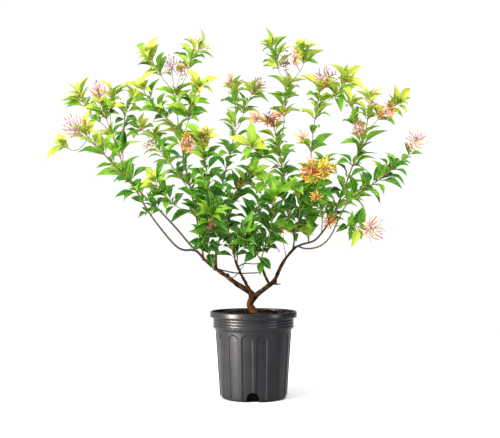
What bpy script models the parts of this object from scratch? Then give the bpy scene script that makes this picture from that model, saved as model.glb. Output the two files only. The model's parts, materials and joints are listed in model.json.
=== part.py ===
"""A firebush grown as an open shrub in a two-gallon nursery pot.

The pot stands on its flat bottom at z = 0, with the front of the plant towards -Y. The pot, the
potting mix, the woody frame, each leafy shoot and each flower head are separate closed solids.
"""

from dataclasses import dataclass, field
from math import cos, hypot, pi, radians, sin, sqrt
from random import Random

import bpy
from mathutils import Matrix, Vector
from mathutils.bvhtree import BVHTree

# Driving dimensions, in metres
MM = 0.001
CM = 0.01
GAP = 0.3 * MM  # left between pieces that touch
TINY = 1e-9

POT_HEIGHT = 228.5 * MM
POT_RIM_RADIUS = 115 * MM
POT_LIP_HEIGHT = 13.5 * MM
POT_NECK_RADIUS = 106 * MM
POT_NECK_FOOT = 187 * MM
POT_SHOULDER_RADIUS = 99.5 * MM
POT_FOOT_RADIUS = 89.5 * MM
POT_FOOT_ROUND = 12 * MM
POT_WALL = 2 * MM
POT_BOTTOM = 2.2 * MM
POT_SIDES = 32
POT_TURN = radians(1.6)
RIDGE_HEIGHTS = (193 * MM, 200.5 * MM, 208 * MM)
RIDGE_HALF_HEIGHT = 2.6 * MM
RIDGE_PROUD = 1.2 * MM

FLUTES = 16
FLUTE_WIDTH = 29 * MM
FLUTE_DEPTH = 2.5 * MM
FLUTE_TOP = 172.5 * MM
DRAIN_RIBS = (0, 5, 8, 11)  # counted round to the right from the front
DRAIN_WIDTH = 33 * MM
DRAIN_HEIGHT = 25.5 * MM
DRAIN_INNER = 73 * MM
DRAIN_TURN = radians(-1.3)
ARCH_STEPS = 6

MIX_EDGE_HEIGHT = 221 * MM
MIX_CROWN_HEIGHT = 223.5 * MM

# The routes below are drawn in centimetres, as seen from the front at this distance and height
SIGHT_DISTANCE = 240
SIGHT_HEIGHT = 40

WOOD_SIDES = 8
SEARCH_STEPS = 24  # places tried along each stretch of a path
SEAT_CHECKS = 12  # points tested round the end of a piece that is seated
SEAT_REACH = 30 * MM  # stems further from a seat than this aren't tested
SHOOT_SIDES = 5
NODE_HALF_LENGTH = 1.6 * MM
NODE_SWELL = 1.2

LEAF_FULL = (5.2, 6.8)  # cm, a grown leaf with its stalk
LEAF_YOUNG = (3.2, 4.4)
LEAF_SLENDERNESS = 0.3
LEAF_LEAST_WIDTH = 9 * MM
LEAF_ROLL = (0.4, 2.6)  # how strongly a leaf's upper side turns to the front, against one for the sky
LEAF_STEEPEST = 0.95  # cosine of the least angle between a leaf and its stem
LEAF_TRIES = ((1, 1), (1, -1), (0.85, 0.5), (0.85, -0.5), (0.7, 1), (0.7, -1))  # length, setback
LEAF_THICKNESS = 1.0 * MM
LEAF_WIDEST = 0.46
LEAF_ARCH = 0.07
LEAVES_PER_WHORL = 3
LEAST_FACING = 0.2  # cosine between a leaf and the side of the stem it may grow from
SIDES_TRIED = 3
BASE_LEFT_OUT = 0.01  # share of a leaf or flower by its stem that isn't tested against others
TIP_BLUNTED = 0.04

FLOWER_LENGTH = (22 * MM, 29 * MM)
FLOWER_BASE = 1.6 * MM
FLOWER_MOUTH = 3.6 * MM
FLOWER_RING_PITCH = 4.2 * MM
FLOWER_SPREAD = (radians(22), radians(80))
FLOWER_LEAN = 0.15  # radians either way
FIRST_HEAD_SEED = 100
FLOWER_THROAT = 0.3  # share of a flower's length where its tube begins to widen

# Each limb of the woody frame as (across, height, depth) in cm, with its width in mm at each point
TRUNK = (
    ((0.3, 15.0, 0.0), 9), ((0.3, 20.0, 0.0), 24), ((0.3, 22.7, 0.0), 22), ((-0.9, 24.1, 0.1), 18),
    ((-1.0, 25.1, 0.1), 18), ((-0.1, 26.3, 0.0), 21), ((0.5, 27.1, 0.0), 20),
)
LEFT_LIMB = (
    ((0.3, 26.6, 0.0), 17), ((-1.0, 28.0, 0.1), 16), ((-3.0, 29.1, 0.2), 15), ((-5.0, 30.3, 0.4), 13),
    ((-7.0, 32.0, 0.6), 11), ((-9.5, 33.6, 0.8), 9.5), ((-12.0, 35.6, 1.0), 8.5), ((-15.2, 38.8, 1.2), 7),
)
INNER_LEFT_LIMB = (
    ((-0.6, 27.6, 0.3), 10), ((-2.5, 31.0, 1.6), 8.5), ((-4.0, 34.0, 2.8), 7.5), ((-4.9, 36.3, 3.8), 7),
)
RIGHT_LIMB = (
    ((0.2, 26.5, 0.0), 15), ((1.5, 27.7, -0.1), 13.5), ((4.0, 29.5, -0.3), 12), ((5.7, 30.9, -0.5), 11),
    ((6.7, 33.5, -0.7), 10), ((8.0, 36.0, -0.9), 8.5), ((9.5, 38.0, -1.1), 7.5), ((11.2, 39.8, -1.3), 7),
)
INNER_RIGHT_LIMB = (
    ((4.4, 29.6, -0.4), 8.5), ((3.3, 31.5, -2.0), 7.5), ((2.6, 33.6, -3.2), 6.5), ((2.0, 36.6, -4.6), 6),
)
LIMBS = (TRUNK, LEFT_LIMB, INNER_LEFT_LIMB, RIGHT_LIMB, INNER_RIGHT_LIMB)


@dataclass
class Shoot:
    """A green stem with its whorls of leaves, or a flower stalk, drawn as seen from the front.

    carrier is what it grows from, depth how far back its end lies, widths its thickness in mm at both
    ends, route its points, and whorls the node of each whorl followed by the tips of its leaves.
    """

    name: str
    carrier: str
    depth: float
    widths: tuple
    route: tuple
    whorls: tuple = ()
    flower_rings: int = 0
    points: list = field(default_factory=list)
    radii: list = field(default_factory=list)


SHOOTS = (
    Shoot("left_01", "wood", -14, (6.4, 3.0),
          ((-15.2, 38.8), (-16.6, 39.1), (-18.8, 38.9), (-21, 40.2), (-25, 45), (-28.5, 49.8), (-31.5, 55.5),
           (-34.5, 58.9), (-40, 64.6), (-45, 70)),
          (((-27.5, 48.4), (-24, 49), (-29.5, 51.5)),
           ((-31, 54.4), (-37.3, 53), (-34.5, 51.5)),
           ((-34.5, 59), (-42.3, 58.7), (-38.7, 61)),
           ((-40, 64.6), (-47.3, 65), (-41.3, 70.3), (-38.5, 67.8)),
           ((-44.8, 69.8), (-50.5, 68.5), (-43.5, 73.5), (-41.8, 70.8), (-48.8, 70.8)))),
    Shoot("left_02", "left_01", -17, (2.4, 1.7),
          ((-44, 69), (-46.3, 66.2), (-48, 65.4), (-50.5, 66.6)),
          (((-50.3, 66.5), (-54, 63.6), (-51.3, 69.5), (-53.4, 67.6)),)),
    Shoot("left_03", "wood", 12, (6.0, 2.8),
          ((-15.2, 38.8), (-17, 40.5), (-20, 44.2), (-24, 48.5), (-28.5, 52.8), (-31.5, 55.6),
           (-33.5, 58.5), (-35.2, 62.5), (-37, 67.5), (-38, 70.5)),
          (((-26, 50.3), (-28.7, 54.5), (-22.7, 52.7)),
           ((-33, 57.7), (-33.2, 64), (-37.3, 57), (-27, 61)),
           ((-35.6, 64), (-35, 71.3), (-29.6, 68), (-39.6, 67.5)),
           ((-37.6, 69.3), (-42, 69.5), (-34.5, 70.5)))),
    Shoot("left_04", "left_03", 15, (2.6, 1.8),
          ((-38, 70.5), (-40, 72.3), (-42.5, 74.5), (-44.5, 76.7), (-46.3, 80)),
          (((-41.3, 73.4), (-44.5, 71.5)),
           ((-45, 77.5), (-51.3, 78), (-41.6, 77)),
           ((-46.3, 79.8), (-50.5, 84), (-47.3, 84.6), (-43.8, 83), (-49.3, 80.6)))),
    Shoot("left_05", "left_03", 5, (2.4, 1.8),
          ((-37.8, 69.6), (-39.2, 73.5), (-40, 76), (-40.5, 78)),
          (((-39.4, 74.1), (-36.5, 75.6), (-42.8, 75.2)),
           ((-40.4, 77.6), (-44.2, 79.3), (-38.2, 79.7)))),
    Shoot("left_06", "left_03", 18, (2.4, 1.8),
          ((-36.8, 66.6), (-38.4, 73), (-38.3, 77), (-37.5, 80.5)),
          (((-38.4, 76.4), (-34.6, 77.4)),
           ((-37.6, 80), (-39.5, 84.5), (-34.2, 82), (-35.4, 78.8)))),
    Shoot("left_07", "left_03", 20, (2.6, 1.8),
          ((-35, 61.9), (-34.9, 70), (-34.4, 75.5), (-33, 78.5), (-32, 79.8)),
          (((-34.9, 71.5), (-30.6, 69.2), (-31.2, 74.4)),
           ((-34.2, 76.2), (-29.5, 76.3), (-37.4, 78.2)),
           ((-32.1, 79.6), (-34.8, 82), (-30.6, 83), (-28.6, 80.6)))),
    Shoot("left_08", "wood", 1.5, (5.0, 2.8),
          ((-13.2, 36.8), (-14, 41), (-14.8, 45), (-15.3, 49), (-17, 56), (-18, 60.5), (-19, 65.5),
           (-20, 71)),
          (((-15.3, 49.5), (-22.5, 45.8), (-11.5, 51.7)),
           ((-17.1, 56.4), (-12.6, 57.8)),
           ((-18.7, 63.5), (-22.3, 62), (-14.6, 65)),
           ((-19.9, 70.4), (-27.5, 73), (-16.2, 69.6)))),
    Shoot("left_09", "left_08", -10, (2.6, 1.7),
          ((-15.2, 48.3), (-19, 49.7), (-21, 51), (-23, 52.8), (-25, 55), (-26.5, 57.5)),
          (((-20.8, 50.9), (-23.4, 48), (-18.8, 53.6)),
           ((-23.5, 53.3), (-28.5, 54.2), (-20.8, 55.8)),
           ((-26.4, 57.2), (-30.4, 56.8), (-22.8, 57.6), (-26, 60.6)))),
    Shoot("left_10", "left_08", -8, (2.6, 1.7),
          ((-20, 71), (-21.4, 72.6), (-25, 76), (-28.5, 80), (-29.8, 82.3)),
          (((-23.2, 74.3), (-26.8, 73.2), (-21.4, 76.8)),
           ((-25.3, 76.4), (-26.5, 80.2), (-30, 78.3)),
           ((-29.7, 82), (-34, 83.5), (-31, 85.4), (-28, 84.9), (-27.2, 81.2)))),
    Shoot("left_11", "left_08", 5, (2.8, 2.0),
          ((-20, 71), (-20.5, 76.5), (-21, 81)),
          (((-20.4, 75.2), (-17.4, 78.2), (-23.8, 77)),
           ((-20.9, 80), (-27, 82), (-15.6, 83.6), (-19, 76.6)))),
    Shoot("left_12", "left_11", -3, (2.2, 1.6),
          ((-21, 81), (-24, 84.5), (-25.5, 87), (-28.2, 91.6)),
          (((-24.9, 86), (-28.9, 86.6), (-24.6, 90.2), (-21.9, 85.6)),
           ((-27.2, 89.8), (-30.6, 88.7)),
           ((-28.1, 91.3), (-31, 93.6), (-32, 90.8), (-26, 94.2)))),
    Shoot("left_13", "left_11", 13, (2.2, 1.6),
          ((-21, 81), (-19, 83.5), (-17.5, 87), (-16.9, 90), (-14.5, 93.3)),
          (((-17.4, 87.6), (-20.9, 91.4), (-13.4, 89), (-20.8, 86.8)),
           ((-16.6, 90.4), (-20.4, 94.3), (-12.8, 90.2)),
           ((-14.7, 93), (-16.4, 95.9), (-13.2, 95.7), (-10.8, 92.3)))),
    Shoot("left_14", "left_08", -12, (2.6, 1.7),
          ((-19.5, 68.6), (-18, 71.6), (-17, 75), (-16.7, 78), (-14.6, 82.8)),
          (((-17.4, 73.8), (-12.8, 75.8), (-21, 75.4)),
           ((-16.7, 77.7), (-19.9, 80.6), (-12, 79.4)),
           ((-14.7, 82.5), (-18.2, 83.6), (-15.5, 85.6), (-11.6, 85), (-10.6, 80.8)))),
    Shoot("left_15", "left_08", 17, (3.0, 1.8),
          ((-16.3, 53.2), (-19.4, 58.6), (-24, 64), (-25.5, 66.3), (-26.5, 69)),
          (((-19, 58.2), (-23.6, 57.6), (-17.4, 61.8)),
           ((-22.4, 62.2), (-26, 60.6), (-20.6, 65.8)),
           ((-24.8, 65.2), (-29.6, 64.2), (-21.3, 67.2)),
           ((-26.4, 68.7), (-24.6, 73), (-29.2, 71), (-22.6, 70)))),
    Shoot("left_16", "left_15", 23, (1.9, 1.6),
          ((-25.2, 65.8), (-27.6, 68.6), (-30, 71.3)),
          (((-29.9, 71.2), (-29.3, 76), (-34, 73), (-27.3, 74.4), (-32, 68.6)),)),
    Shoot("left_17", "wood", -18, (3.4, 2.2),
          ((-10.8, 34.6), (-12, 38.4), (-12.6, 41.4), (-12, 45), (-11, 49)),
          (((-12.2, 39.2), (-16.6, 41.6), (-8.4, 37.6)),
           ((-12.5, 42.2), (-16.9, 46), (-8, 43.6), (-15.4, 38.8)),
           ((-12, 45.2), (-6.8, 46.8), (-15.6, 49.6)),
           ((-11.2, 48.6), (-5.6, 50.2), (-9.8, 53.4), (-14.6, 52.6)))),
    Shoot("left_18", "left_17", -24, (2.8, 1.8),
          ((-12.3, 43.2), (-12.5, 50), (-12, 56), (-12.6, 61), (-13.8, 69)),
          (((-12.2, 53), (-8.2, 56), (-16.4, 55.6)),
           ((-12.2, 57.4), (-7.6, 60.2), (-16.2, 61)),
           ((-12.9, 63), (-8.6, 64.2), (-16.8, 65.6)),
           ((-13.6, 68.2), (-9.8, 71.6), (-8.2, 68.6), (-16.8, 71)))),
    Shoot("centre_01", "wood", 16, (5.0, 2.0),
          ((-9.8, 33.9), (-10, 38), (-9.2, 41), (-8.6, 45), (-9.2, 50.4), (-8.5, 56), (-7.3, 61), (-6, 65.5),
           (-4.9, 71), (-4.7, 76), (-5.2, 82)),
          (((-9.2, 50), (-13.6, 51.8), (-5, 52.4)),
           ((-8.2, 57), (-12.4, 59.6), (-4.2, 58.2)),
           ((-6.2, 64.8), (-10.6, 67.6), (-2, 68.2), (-10, 63)),
           ((-4.9, 72), (-9.5, 73.6), (-7.2, 77.2), (-0.8, 73.8)),
           ((-4.9, 78), (-8.8, 78.6), (-1.4, 78.4)),
           ((-5.2, 81.6), (-9, 82.6), (-1.9, 84), (-5.9, 85.4)))),
    Shoot("centre_02", "centre_01", 24, (2.2, 1.7),
          ((-5, 70), (-3.3, 73), (-2.3, 77), (0, 81.5)),
          (((-2.6, 75.6), (-6.2, 78.2), (1.4, 77.2)),
           ((-0.4, 80.7), (-3.2, 83.6), (3.6, 81.3), (4.4, 78.2)))),
    Shoot("centre_03", "wood", -14, (4.0, 1.8),
          ((-4.9, 36.3), (-6, 41), (-7, 45), (-8, 49.8), (-6.5, 52), (-2.5, 56.5), (-0.5, 59.3)),
          (((-6.8, 44.2), (-2.4, 46), (-9.8, 48.2)),
           ((-7.8, 49), (-3.6, 49.6), (-11.8, 51)),
           ((-4.4, 54.3), (-10.5, 55.5), (1, 53.6)),
           ((-0.6, 59.1), (-5, 61.4), (4.8, 61.4), (-1, 63.8)))),
    Shoot("centre_04", "wood", 11, (3.8, 1.8),
          ((-4.4, 35), (-4.2, 40), (-3, 43), (-1, 46.5), (1, 49.5), (2.8, 53.5), (3.6, 57.2)),
          (((-3.7, 41.3), (-0.4, 38.6), (-7.6, 43)),
           ((-1, 46.4), (-5.2, 48.4), (3.6, 46.6)),
           ((1.4, 50.4), (-3, 51.8), (6, 51.4)),
           ((3.5, 56.6), (7.6, 58.4), (-0.4, 57.8), (4.2, 61.4)))),
    Shoot("centre_05", "wood", -16, (3.0, 1.9),
          ((2.1, 36), (0.5, 38.5), (-1.2, 40.5), (-2.5, 43)),
          (((1, 37.8), (-2.3, 35.6), (4.6, 33.8)),
           ((-1, 40.3), (-5.2, 41), (1.2, 44)),
           ((-2.4, 42.8), (-6.4, 45), (-3, 47.6), (1.6, 46.4)))),
    Shoot("centre_06", "wood", -21, (3.2, 1.9),
          ((2, 36.6), (3.5, 41), (4.6, 45), (5.6, 49), (5.6, 53.2)),
          (((2.9, 39.3), (6.8, 38.2), (0.4, 42.8)),
           ((4.3, 43.8), (8.6, 43.4), (1.2, 47)),
           ((5.5, 48.6), (1.3, 50), (9.9, 49.8)),
           ((5.6, 52.8), (1.9, 55.8), (9.6, 55), (5, 57.8)))),
    Shoot("right_01", "wood", 12, (6.2, 2.4),
          ((11.2, 39.8), (13, 40.6), (16.2, 41.3), (18.2, 43.5), (20, 46), (21.7, 49), (23.5, 53.5),
           (25.2, 58), (26.8, 62.5), (28.8, 66.5), (30, 70), (30.8, 76), (31, 79.5)),
          (((22, 49.8), (25.6, 52.4), (18, 51.2)),
           ((24, 54.8), (22.4, 59.2), (19.6, 53.6), (30.2, 57.4)),
           ((26.4, 61.5), (21.6, 61.6), (22, 65.6), (33.5, 64.7), (29.2, 60.4)),
           ((29, 67), (22.8, 67.2), (25.3, 70.4), (36, 71)),
           ((30.5, 74), (27.2, 75.2), (33.8, 75)),
           ((31, 79.2), (29.6, 82.6), (32.8, 82.6), (34.8, 80.8)))),
    Shoot("right_02", "right_01", 18, (2.2, 1.7),
          ((28.2, 65.4), (27.5, 70), (26.8, 75), (26, 78)),
          (((27.2, 72.4), (23.6, 73.4)),
           ((26.1, 77.6), (22.8, 79), (27.8, 81), (29.2, 77.4)))),
    Shoot("right_03", "right_01", 4, (2.2, 1.7),
          ((30, 70.2), (34, 74.8), (36, 76.4), (38.7, 78.3)),
          (((33.4, 74.2), (37.2, 72.6), (32.2, 77.8)),
           ((38.5, 78.1), (37.5, 81.6), (42.3, 79.5), (41.3, 75.5)))),
    Shoot("right_04", "right_01", -14, (4.8, 2.2),
          ((11.8, 40.1), (14, 39.2), (18, 39.9), (20.8, 42.8), (22.5, 47), (25.3, 52.3), (28, 54.2),
           (33, 57.3), (36.8, 60.5), (41.2, 63.8), (42.6, 67)),
          (((26, 52.9), (29.4, 50), (24.4, 57.2)),
           ((29.8, 55.3), (33.4, 53), (29, 60.3)),
           ((33.6, 57.8), (38.4, 58.4), (32.2, 62)),
           ((36.8, 60.6), (35, 65), (41.8, 61.4)),
           ((41.5, 64.3), (40.2, 68), (45.3, 64.6)))),
    Shoot("right_05", "right_04", -19, (2.6, 1.8),
          ((22, 45.4), (24.2, 45.6), (28.3, 45.1), (30.2, 45.2)),
          (((24.9, 45.5), (26.3, 49.9), (25.2, 41.6)),
           ((28, 45.1), (29.6, 49.3), (28.6, 41.6)))),
    Shoot("right_06", "right_01", -9, (4.2, 2.0),
          ((14.7, 41), (14.5, 45), (14.2, 50), (14.8, 54), (15.3, 62), (15.5, 67), (16.6, 75), (18, 82.5)),
          (((14.3, 46.6), (18.4, 47.8)),
           ((14.7, 53.4), (18.8, 55.2), (10.8, 55.6)),
           ((15.3, 65.3), (21.5, 70.2), (11.2, 67.4), (17.2, 71)),
           ((16.4, 74), (20.9, 74.6), (12.8, 76)),
           ((17.3, 79), (13.8, 80.4), (21.4, 79.2)),
           ((17.9, 82.1), (14.5, 84.4), (22.3, 82.6)))),
    Shoot("right_07", "right_06", -17, (2.2, 1.7),
          ((17, 77), (20, 79), (22.5, 80.8), (24.8, 84.3)),
          (((21.6, 80.2), (25, 78.4), (19.4, 82.8)),
           ((24.7, 84.1), (28.6, 82.8), (23.5, 87.3), (27.4, 86.9)))),
    Shoot("right_08", "right_06", -21, (3.0, 2.0),
          ((14.3, 47), (15.5, 52), (16.8, 56), (17, 59.5)),
          (((15.3, 51.3), (11, 53), (19.9, 52)),
           ((16.6, 55.4), (12.4, 57.6), (21.2, 57)),
           ((17, 58.9), (13.4, 60.4), (21, 60.2)))),
    Shoot("right_09", "centre_07", -17, (2.8, 1.8),
          ((10.7, 43), (12, 46.5), (12.6, 50.5), (11.6, 55)),
          (((11.8, 46), (15.8, 44.2), (8.2, 47.4)),
           ((12.5, 49.6), (16.8, 49), (8.4, 51.6)),
           ((11.8, 54.2), (8.6, 57.2), (15.4, 57), (11, 59)))),
    Shoot("right_10", "right_01", 23, (3.0, 1.8),
          ((18.2, 43.5), (18.4, 48), (17.8, 53), (18.6, 58), (19, 62)),
          (((18.4, 49), (14.2, 50.6), (22.4, 47.4)),
           ((17.9, 53.5), (13.6, 55.4), (21.8, 56)),
           ((18.6, 58), (14.4, 61), (22.4, 60)),
           ((19, 61.6), (16.2, 65.6), (22.2, 65)))),
    Shoot("centre_07", "wood", 6, (4.8, 2.2),
          ((10.4, 39), (11, 42), (10.3, 45), (8.7, 50), (8.3, 54), (8.4, 58), (7.2, 63), (6.5, 68),
           (5.2, 73)),
          (((9.6, 47.4), (13.8, 49), (5.6, 46.4)),
           ((8.4, 52), (4.2, 54), (12.6, 53.6)),
           ((8.2, 58.8), (12.6, 60), (4.4, 60.6)),
           ((7, 64), (11.6, 65), (3, 66.4)),
           ((6.3, 68.6), (0.6, 70.6), (11.4, 70.6)))),
    Shoot("centre_08", "centre_07", 9, (2.6, 2.0),
          ((6.8, 65.8), (8, 71), (8.3, 75), (9, 83.5)),
          (((8.3, 74.8), (12.8, 76), (4.2, 76.8)),
           ((8.7, 79.4), (12.2, 80.2), (5.4, 81.6)),
           ((8.9, 82.5), (3.5, 85.6), (14.5, 84.6)))),
    Shoot("centre_09", "centre_08", 14, (2.0, 1.6),
          ((9, 83.5), (7.2, 85.8), (6.3, 89), (4.7, 94)),
          (((6.6, 87.6), (2.4, 88.2), (10.2, 88.6)),
           ((5.8, 90.6), (9.4, 91.8)),
           ((4.8, 93.6), (1.3, 95), (7.2, 96.4), (2.4, 92)))),
    Shoot("centre_10", "centre_08", 3, (2.0, 1.6),
          ((9, 83.2), (12, 86), (13.8, 89.5), (13.2, 93)),
          (((13.8, 89), (10.6, 90.8), (17, 92.2), (17.6, 88.8)),
           ((13.3, 92.7), (11.2, 95.8), (14.2, 96), (16.6, 94.6)))),
    Shoot("centre_11", "centre_07", -13, (2.4, 1.6),
          ((7.7, 61), (5, 62.5), (2.3, 64), (-0.5, 66.6)),
          (((2.8, 63.7), (-0.6, 61.8), (5.2, 67.2)),
           ((-0.4, 66.4), (-4.9, 67.6), (-1.6, 70.4), (3.8, 69)))),
)

FLOWER_HEADS = (
    Shoot("left_01", "left_01", -15, (1.8, 1.6), ((-45, 70), (-46, 70.9), (-47.4, 71.4)), (), 3),
    Shoot("left_02", "left_05", 4, (1.8, 1.6), ((-40.5, 78), (-41, 79.6), (-41.6, 81)), (), 2),
    Shoot("left_03", "left_06", 16, (1.8, 1.6), ((-37.5, 80.5), (-37.8, 81.3), (-38.3, 82.4)), (), 2),
    Shoot("left_04", "left_11", 8, (1.8, 1.6), ((-21, 81), (-21.7, 85), (-21.8, 87.6)), (), 3),
    Shoot("left_05", "left_08", -11, (1.8, 1.6), ((-19.4, 67.8), (-18.4, 67.9), (-17.2, 68.2)), (), 3),
    Shoot("left_06", "left_18", -25, (1.8, 1.6), ((-13.8, 69), (-13.6, 70.2), (-13.2, 71)), (), 2),
    Shoot("centre_01", "centre_02", 24, (1.8, 1.6), ((0, 81.5), (0.7, 82.4), (1.3, 83.4)), (), 3),
    Shoot("centre_02", "centre_07", 2, (1.8, 1.6), ((5.2, 73), (4.4, 74.2), (3.4, 75)), (), 3),
    Shoot("centre_03", "centre_08", 8, (1.8, 1.6), ((9, 83.5), (8.7, 87), (8.5, 89)), (), 2),
    Shoot("centre_04", "centre_10", 1, (1.8, 1.6), ((12.6, 86.9), (11.4, 88.7), (11, 90.3)), (), 2),
    Shoot("centre_05", "centre_07", -8, (1.8, 1.6), ((10.2, 45.4), (9, 45.2), (7.8, 45.3)), (), 2),
    Shoot("right_01", "right_01", 5, (1.8, 1.6), ((29.3, 68), (28.8, 69.8), (28.4, 71)), (), 3),
    Shoot("right_02", "right_03", -1, (1.8, 1.6), ((36, 76.4), (36.2, 77.4), (36.8, 78)), (), 2),
    Shoot("right_03", "right_04", -15, (1.8, 1.6), ((42.6, 67), (43.2, 68), (43.6, 69)), (), 2),
    Shoot("right_04", "right_05", -20, (1.8, 1.6), ((30.2, 45.2), (31, 45.2), (31.8, 44.8)), (), 3),
    Shoot("right_05", "right_06", -13, (1.8, 1.6), ((18, 82.5), (19, 84), (20, 84.9)), (), 3),
    Shoot("right_06", "right_08", -24, (1.8, 1.6), ((17, 59.5), (16.4, 60.4), (15.8, 61)), (), 3),
    Shoot("right_07", "right_01", -2, (1.8, 1.6), ((19.8, 45.8), (20.1, 47.2), (20.4, 48)), (), 2),
)


# Placing what is drawn

def place(across, height, depth):
    """A point drawn at (across, height), set back by depth along the line of sight."""
    grow = 1 + depth / SIGHT_DISTANCE
    return Vector((across * grow, depth, SIGHT_HEIGHT + (height - SIGHT_HEIGHT) * grow)) * CM


def drawn(point):
    """Where a point in space is drawn: (across, height) in cm."""
    grow = 1 + point.y / CM / SIGHT_DISTANCE
    return Vector((point.x / CM / grow, SIGHT_HEIGHT + (point.z / CM - SIGHT_HEIGHT) / grow))


def along(points, spot):
    """The point of a path that is drawn nearest to a spot."""
    tried = [one.lerp(two, step / SEARCH_STEPS) for one, two in zip(points, points[1:])
             for step in range(SEARCH_STEPS + 1)]
    return min(tried, key=lambda point: (drawn(point) - Vector(spot)).length)


def nearest_place(points, spot):
    """The place along a path, as index plus fraction, that is nearest to a spot in space."""
    best = None
    for index in range(len(points) - 1):
        run = points[index + 1] - points[index]
        share = min(max((spot - points[index]).dot(run) / run.length_squared, 0), 1)
        off = (spot - points[index] - run * share).length
        if best is None or off < best[0] - TINY:
            best = (off, index + share)
    return best[1]


def set_out(route, start, depth):
    """A drawn route in space, from a start point back to the given depth by its end."""
    lengths = [0.0]
    for one, two in zip(route, route[1:]):
        lengths.append(lengths[-1] + hypot(two[0] - one[0], two[1] - one[1]))
    first = start.y / CM
    points = [start.copy()]
    for spot, length in list(zip(route, lengths))[1:]:
        points.append(place(*spot, first + (depth - first) * length / lengths[-1]))
    return points


# Tubes

def frames(points):
    """The tangent and one side direction at each point of a path, turned as little as possible."""
    tangents = []
    for index in range(len(points)):
        before = points[max(index - 1, 0)]
        after = points[min(index + 1, len(points) - 1)]
        tangents.append((after - before).normalized())
    side = tangents[0].orthogonal().normalized()
    result = []
    for tangent in tangents:
        side = (side - tangent * side.dot(tangent)).normalized()
        result.append((tangent, side))
    return result


def ring(centre, tangent, side, radius, sides):
    """The points of one ring, counter-clockwise round the tangent."""
    other = tangent.cross(side)
    turns = (2 * pi * step / sides for step in range(sides))
    return [centre + (side * cos(turn) + other * sin(turn)) * radius for turn in turns]


def tube(points, radii, sides):
    """A closed tube along a path, as vertices and faces."""
    verts = []
    for point, radius, (tangent, side) in zip(points, radii, frames(points)):
        verts += ring(point, tangent, side, radius, sides)
    faces = [tuple(reversed(range(sides)))]
    for index in range(len(points) - 1):
        for step in range(sides):
            low, high = index * sides, (index + 1) * sides
            after = (step + 1) % sides
            faces.append((low + step, low + after, high + after, high + step))
    faces.append(tuple(range(len(verts) - sides, len(verts))))
    return verts, faces


# Keeping clear of what is there already

def gap_to_stem(point, stem):
    """How far a point is from the surface of a stem, negative inside it."""
    nearest = None
    last = len(stem.points) - 2
    for index in range(last + 1):
        start, end = stem.points[index], stem.points[index + 1]
        run = end - start
        share = (point - start).dot(run) / run.length_squared
        held = min(max(share, 0), 1)
        radius = stem.radii[index] + (stem.radii[index + 1] - stem.radii[index]) * held
        beside = (point - start - run * share).length
        if share > 1 and index == last or share < 0 and index == 0:
            beyond = (share - held) * run.length
            gap = hypot(beyond, max(beside - radius, 0))
        else:
            gap = (point - start - run * held).length - radius
        nearest = gap if nearest is None else min(nearest, gap)
    return nearest


def seat(points, radius, stems):
    """Shortens a path at its start until its end ring stands just clear of what it grows from."""
    step = 0.2 * MM
    points = [point.copy() for point in points]
    near = [stem for stem in stems if gap_to_stem(points[0], stem) < SEAT_REACH]
    while True:
        tangent = (points[1] - points[0]).normalized()
        edge = ring(points[0], tangent, tangent.orthogonal().normalized(), radius, SEAT_CHECKS)
        if all(gap_to_stem(point, stem) >= GAP for point in edge for stem in near):
            return points
        if (points[1] - points[0]).length <= 2 * step:
            points.pop(0)
        else:
            points[0] += tangent * step


class Room:
    """What already fills the space round the plant, for testing whether a new piece is clear."""

    def __init__(self):
        self.pieces = []

    def add(self, verts, faces, stem=None):
        """Keeps a piece's surface, or with a stem the space that only its own blades may enter."""
        middle = sum(verts, Vector()) / len(verts)
        reach = max((vert - middle).length for vert in verts)
        self.pieces.append((middle, reach, BVHTree.FromPolygons(verts, faces), stem))

    def clear(self, verts, faces, stem):
        """Whether the surface of a blade of this stem crosses none of those kept."""
        middle = sum(verts, Vector()) / len(verts)
        reach = max((vert - middle).length for vert in verts)
        tree = BVHTree.FromPolygons(verts, faces)
        for other, far, kept, owner in self.pieces:
            if owner is not stem and (other - middle).length < reach + far and tree.overlap(kept):
                return False
        return True


# Leaves and flowers

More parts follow.
